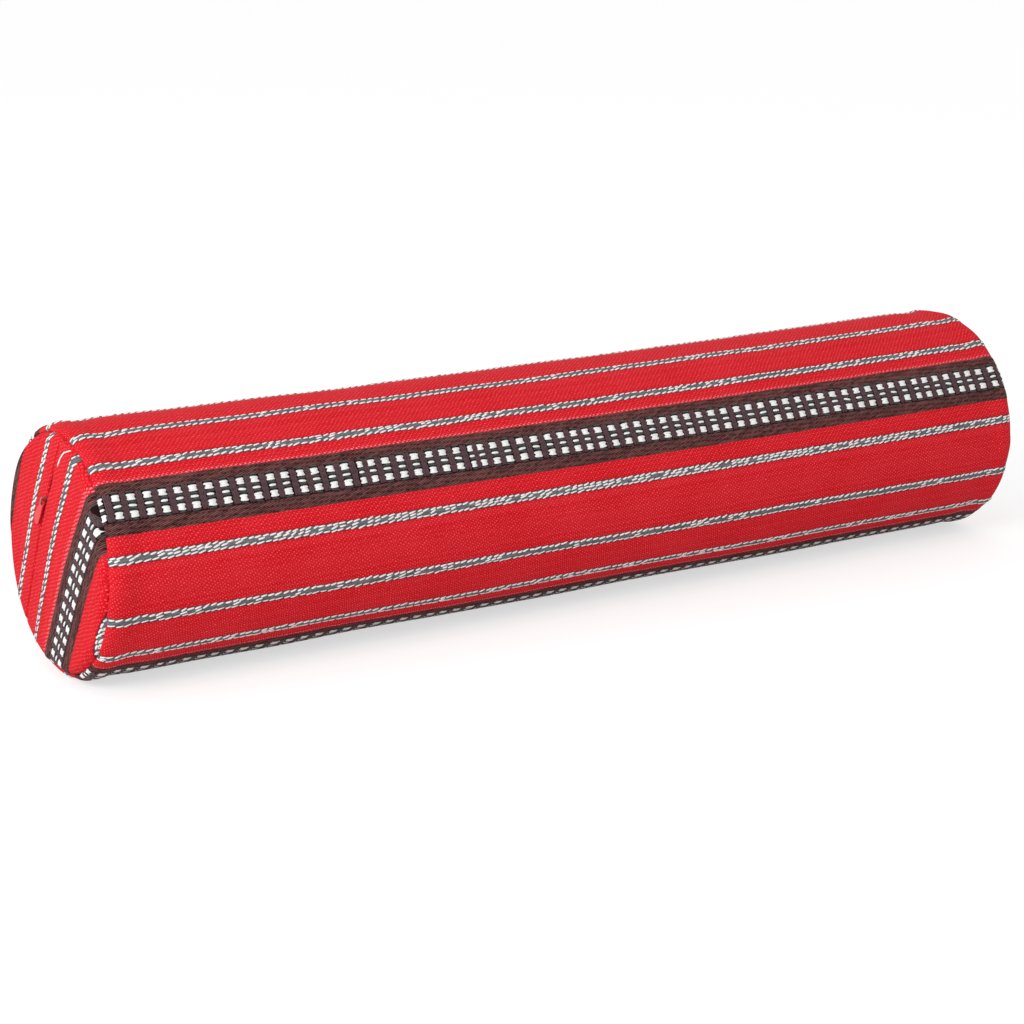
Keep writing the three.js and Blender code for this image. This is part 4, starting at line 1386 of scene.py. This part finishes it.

# %% [markdown]
# ## CAD pieces that stay
# The slider, the pull, the stops, the tapes and the hidden rows of thread have the right shape in
# the CAD model. A small bevel rounds their edges, and on the slider, the pull and the stops the
# bevel's faces take a lighter finish, a painted highlight.

# %% Finishes and bevels of the CAD pieces
def finish_cad(name, finishes, bevel=0.0):
    cad_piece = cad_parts[name]
    cad_piece.data.materials.clear()
    for finish in finishes:
        cad_piece.data.materials.append(finish)
    if bevel:
        rounding = cad_piece.modifiers.new("rounded edges", "BEVEL")
        rounding.width = bevel
        rounding.segments = 3
        rounding.limit_method = "ANGLE"
        rounding.angle_limit = math.radians(35)
        # The bevel's faces take the last finish: for the metal and the enamel, the lighter painted
        # edge highlight.
        rounding.material = len(finishes) - 1
        rounding.harden_normals = False


finish_cad("zip_slider", metal, 0.16 * MM)
finish_cad("zip_pull", enamel, 0.22 * MM)
for part_name in ("zip_top_stop_front", "zip_top_stop_rear", "zip_bottom_stop"):
    finish_cad(part_name, metal, 0.25 * MM)
for part_name in ("zip_tape_front", "zip_tape_rear"):
    finish_cad(part_name, [tape_finish], 0.15 * MM)
for part_name in ("zip_stitch_front", "zip_stitch_rear", "inner_case_near_thread",
                  "inner_case_far_thread"):
    finish_cad(part_name, [tape_finish])

# %% [markdown]
# ## Floor, light and camera
# A plain white sweep, one broad soft light from the upper left and a bright surround: flat, even
# light as in a catalogue, so that the weave and not the shadows tells the form. The floor glows a
# little to the camera alone, so it reads as white without lighting the bolster from below.

# %% Floor
FLOOR_HALF = 6
FLOOR_GAP = 0.4 * MM
FLOOR_GREY = 0.8
GLOW = 1.25
GLOW_SHARE = 0.5  # how much of the glow the camera sees
floor_corners = [(x * FLOOR_HALF, y * FLOOR_HALF, 0) for x, y in ((-1, -1), (1, -1), (1, 1), (-1, 1))]
floor_mesh = bpy.data.meshes.new("floor")
floor_mesh.from_pydata(floor_corners, [], [(0, 1, 2, 3)])
floor = in_scene("floor", floor_mesh)
floor.location.z = -FLOOR_GAP
floor_finish, floor_tree, floor_shader = new_material("pale floor")
floor_shader.inputs["Base Color"].default_value = (FLOOR_GREY, FLOOR_GREY, FLOOR_GREY, 1)
floor_shader.inputs["Roughness"].default_value = 0.9
glow = node(floor_tree, "Emission", {"Strength": GLOW})
to_camera = node(floor_tree, "LightPath").outputs["Is Camera Ray"]
share = calc(floor_tree, "MULTIPLY", to_camera, GLOW_SHARE)
seen_floor = node(floor_tree, "MixShader", {0: share, 1: floor_shader.outputs[0],
                                            2: glow.outputs[0]})
floor_tree.links.new(seen_floor.outputs[0], floor_tree.nodes["Material Output"].inputs[0])
floor_mesh.materials.append(floor_finish)


# %% Light
def soft_light(name, location, target, size, power):
    lamp = bpy.data.lights.new(name, "AREA")
    lamp.shape = "SQUARE"
    lamp.size = size
    lamp.energy = power
    holder = in_scene(name, lamp)
    holder.location = location
    holder.rotation_euler = (Vector(target) - Vector(location)).to_track_quat("-Z", "Y").to_euler()


SKY_LIGHT = 0.88
SKY_TO_CAMERA = 0.12  # more, where the camera sees it
KEY_POWER = 34
world = bpy.data.worlds.new("surround")
bpy.context.scene.world = world
world.use_nodes = True
world.node_tree.nodes["Background"].inputs[0].default_value = (1, 1, 1, 1)
sky = world.node_tree
straight_on = node(sky, "LightPath").outputs["Is Camera Ray"]
brightness = added_up(sky, SKY_LIGHT, (straight_on, SKY_TO_CAMERA))
sky.links.new(brightness, sky.nodes["Background"].inputs[1])
soft_light("key", (-1.9, -0.8, 1.2), (-0.1, 0, 0.05), 1.0, KEY_POWER)
bpy.context.scene.view_settings.view_transform = "Standard"

# %% Camera
LENS = 90.5
DISTANCE = 1.63
AIM_OFFSET = (-19.7, 6.2, -21.7)
axis_middle = Vector(((NEAR_SEAM + FAR_SEAM) / 2, 0, AXIS_HEIGHT))
camera_data = bpy.data.cameras.new("camera")
camera = in_scene("camera", camera_data)
camera_data.lens = LENS
camera_data.sensor_width = 36
azimuth, elevation = math.radians(-32.14), math.radians(14.79)
back = Vector((math.sin(azimuth) * math.cos(elevation),
               -math.cos(azimuth) * math.cos(elevation), math.sin(elevation)))
camera.location = axis_middle + back * DISTANCE
aim = axis_middle + Vector(AIM_OFFSET) * MM
camera.rotation_euler = (aim - camera.location).to_track_quat("-Z", "Y").to_euler()
bpy.context.scene.camera = camera
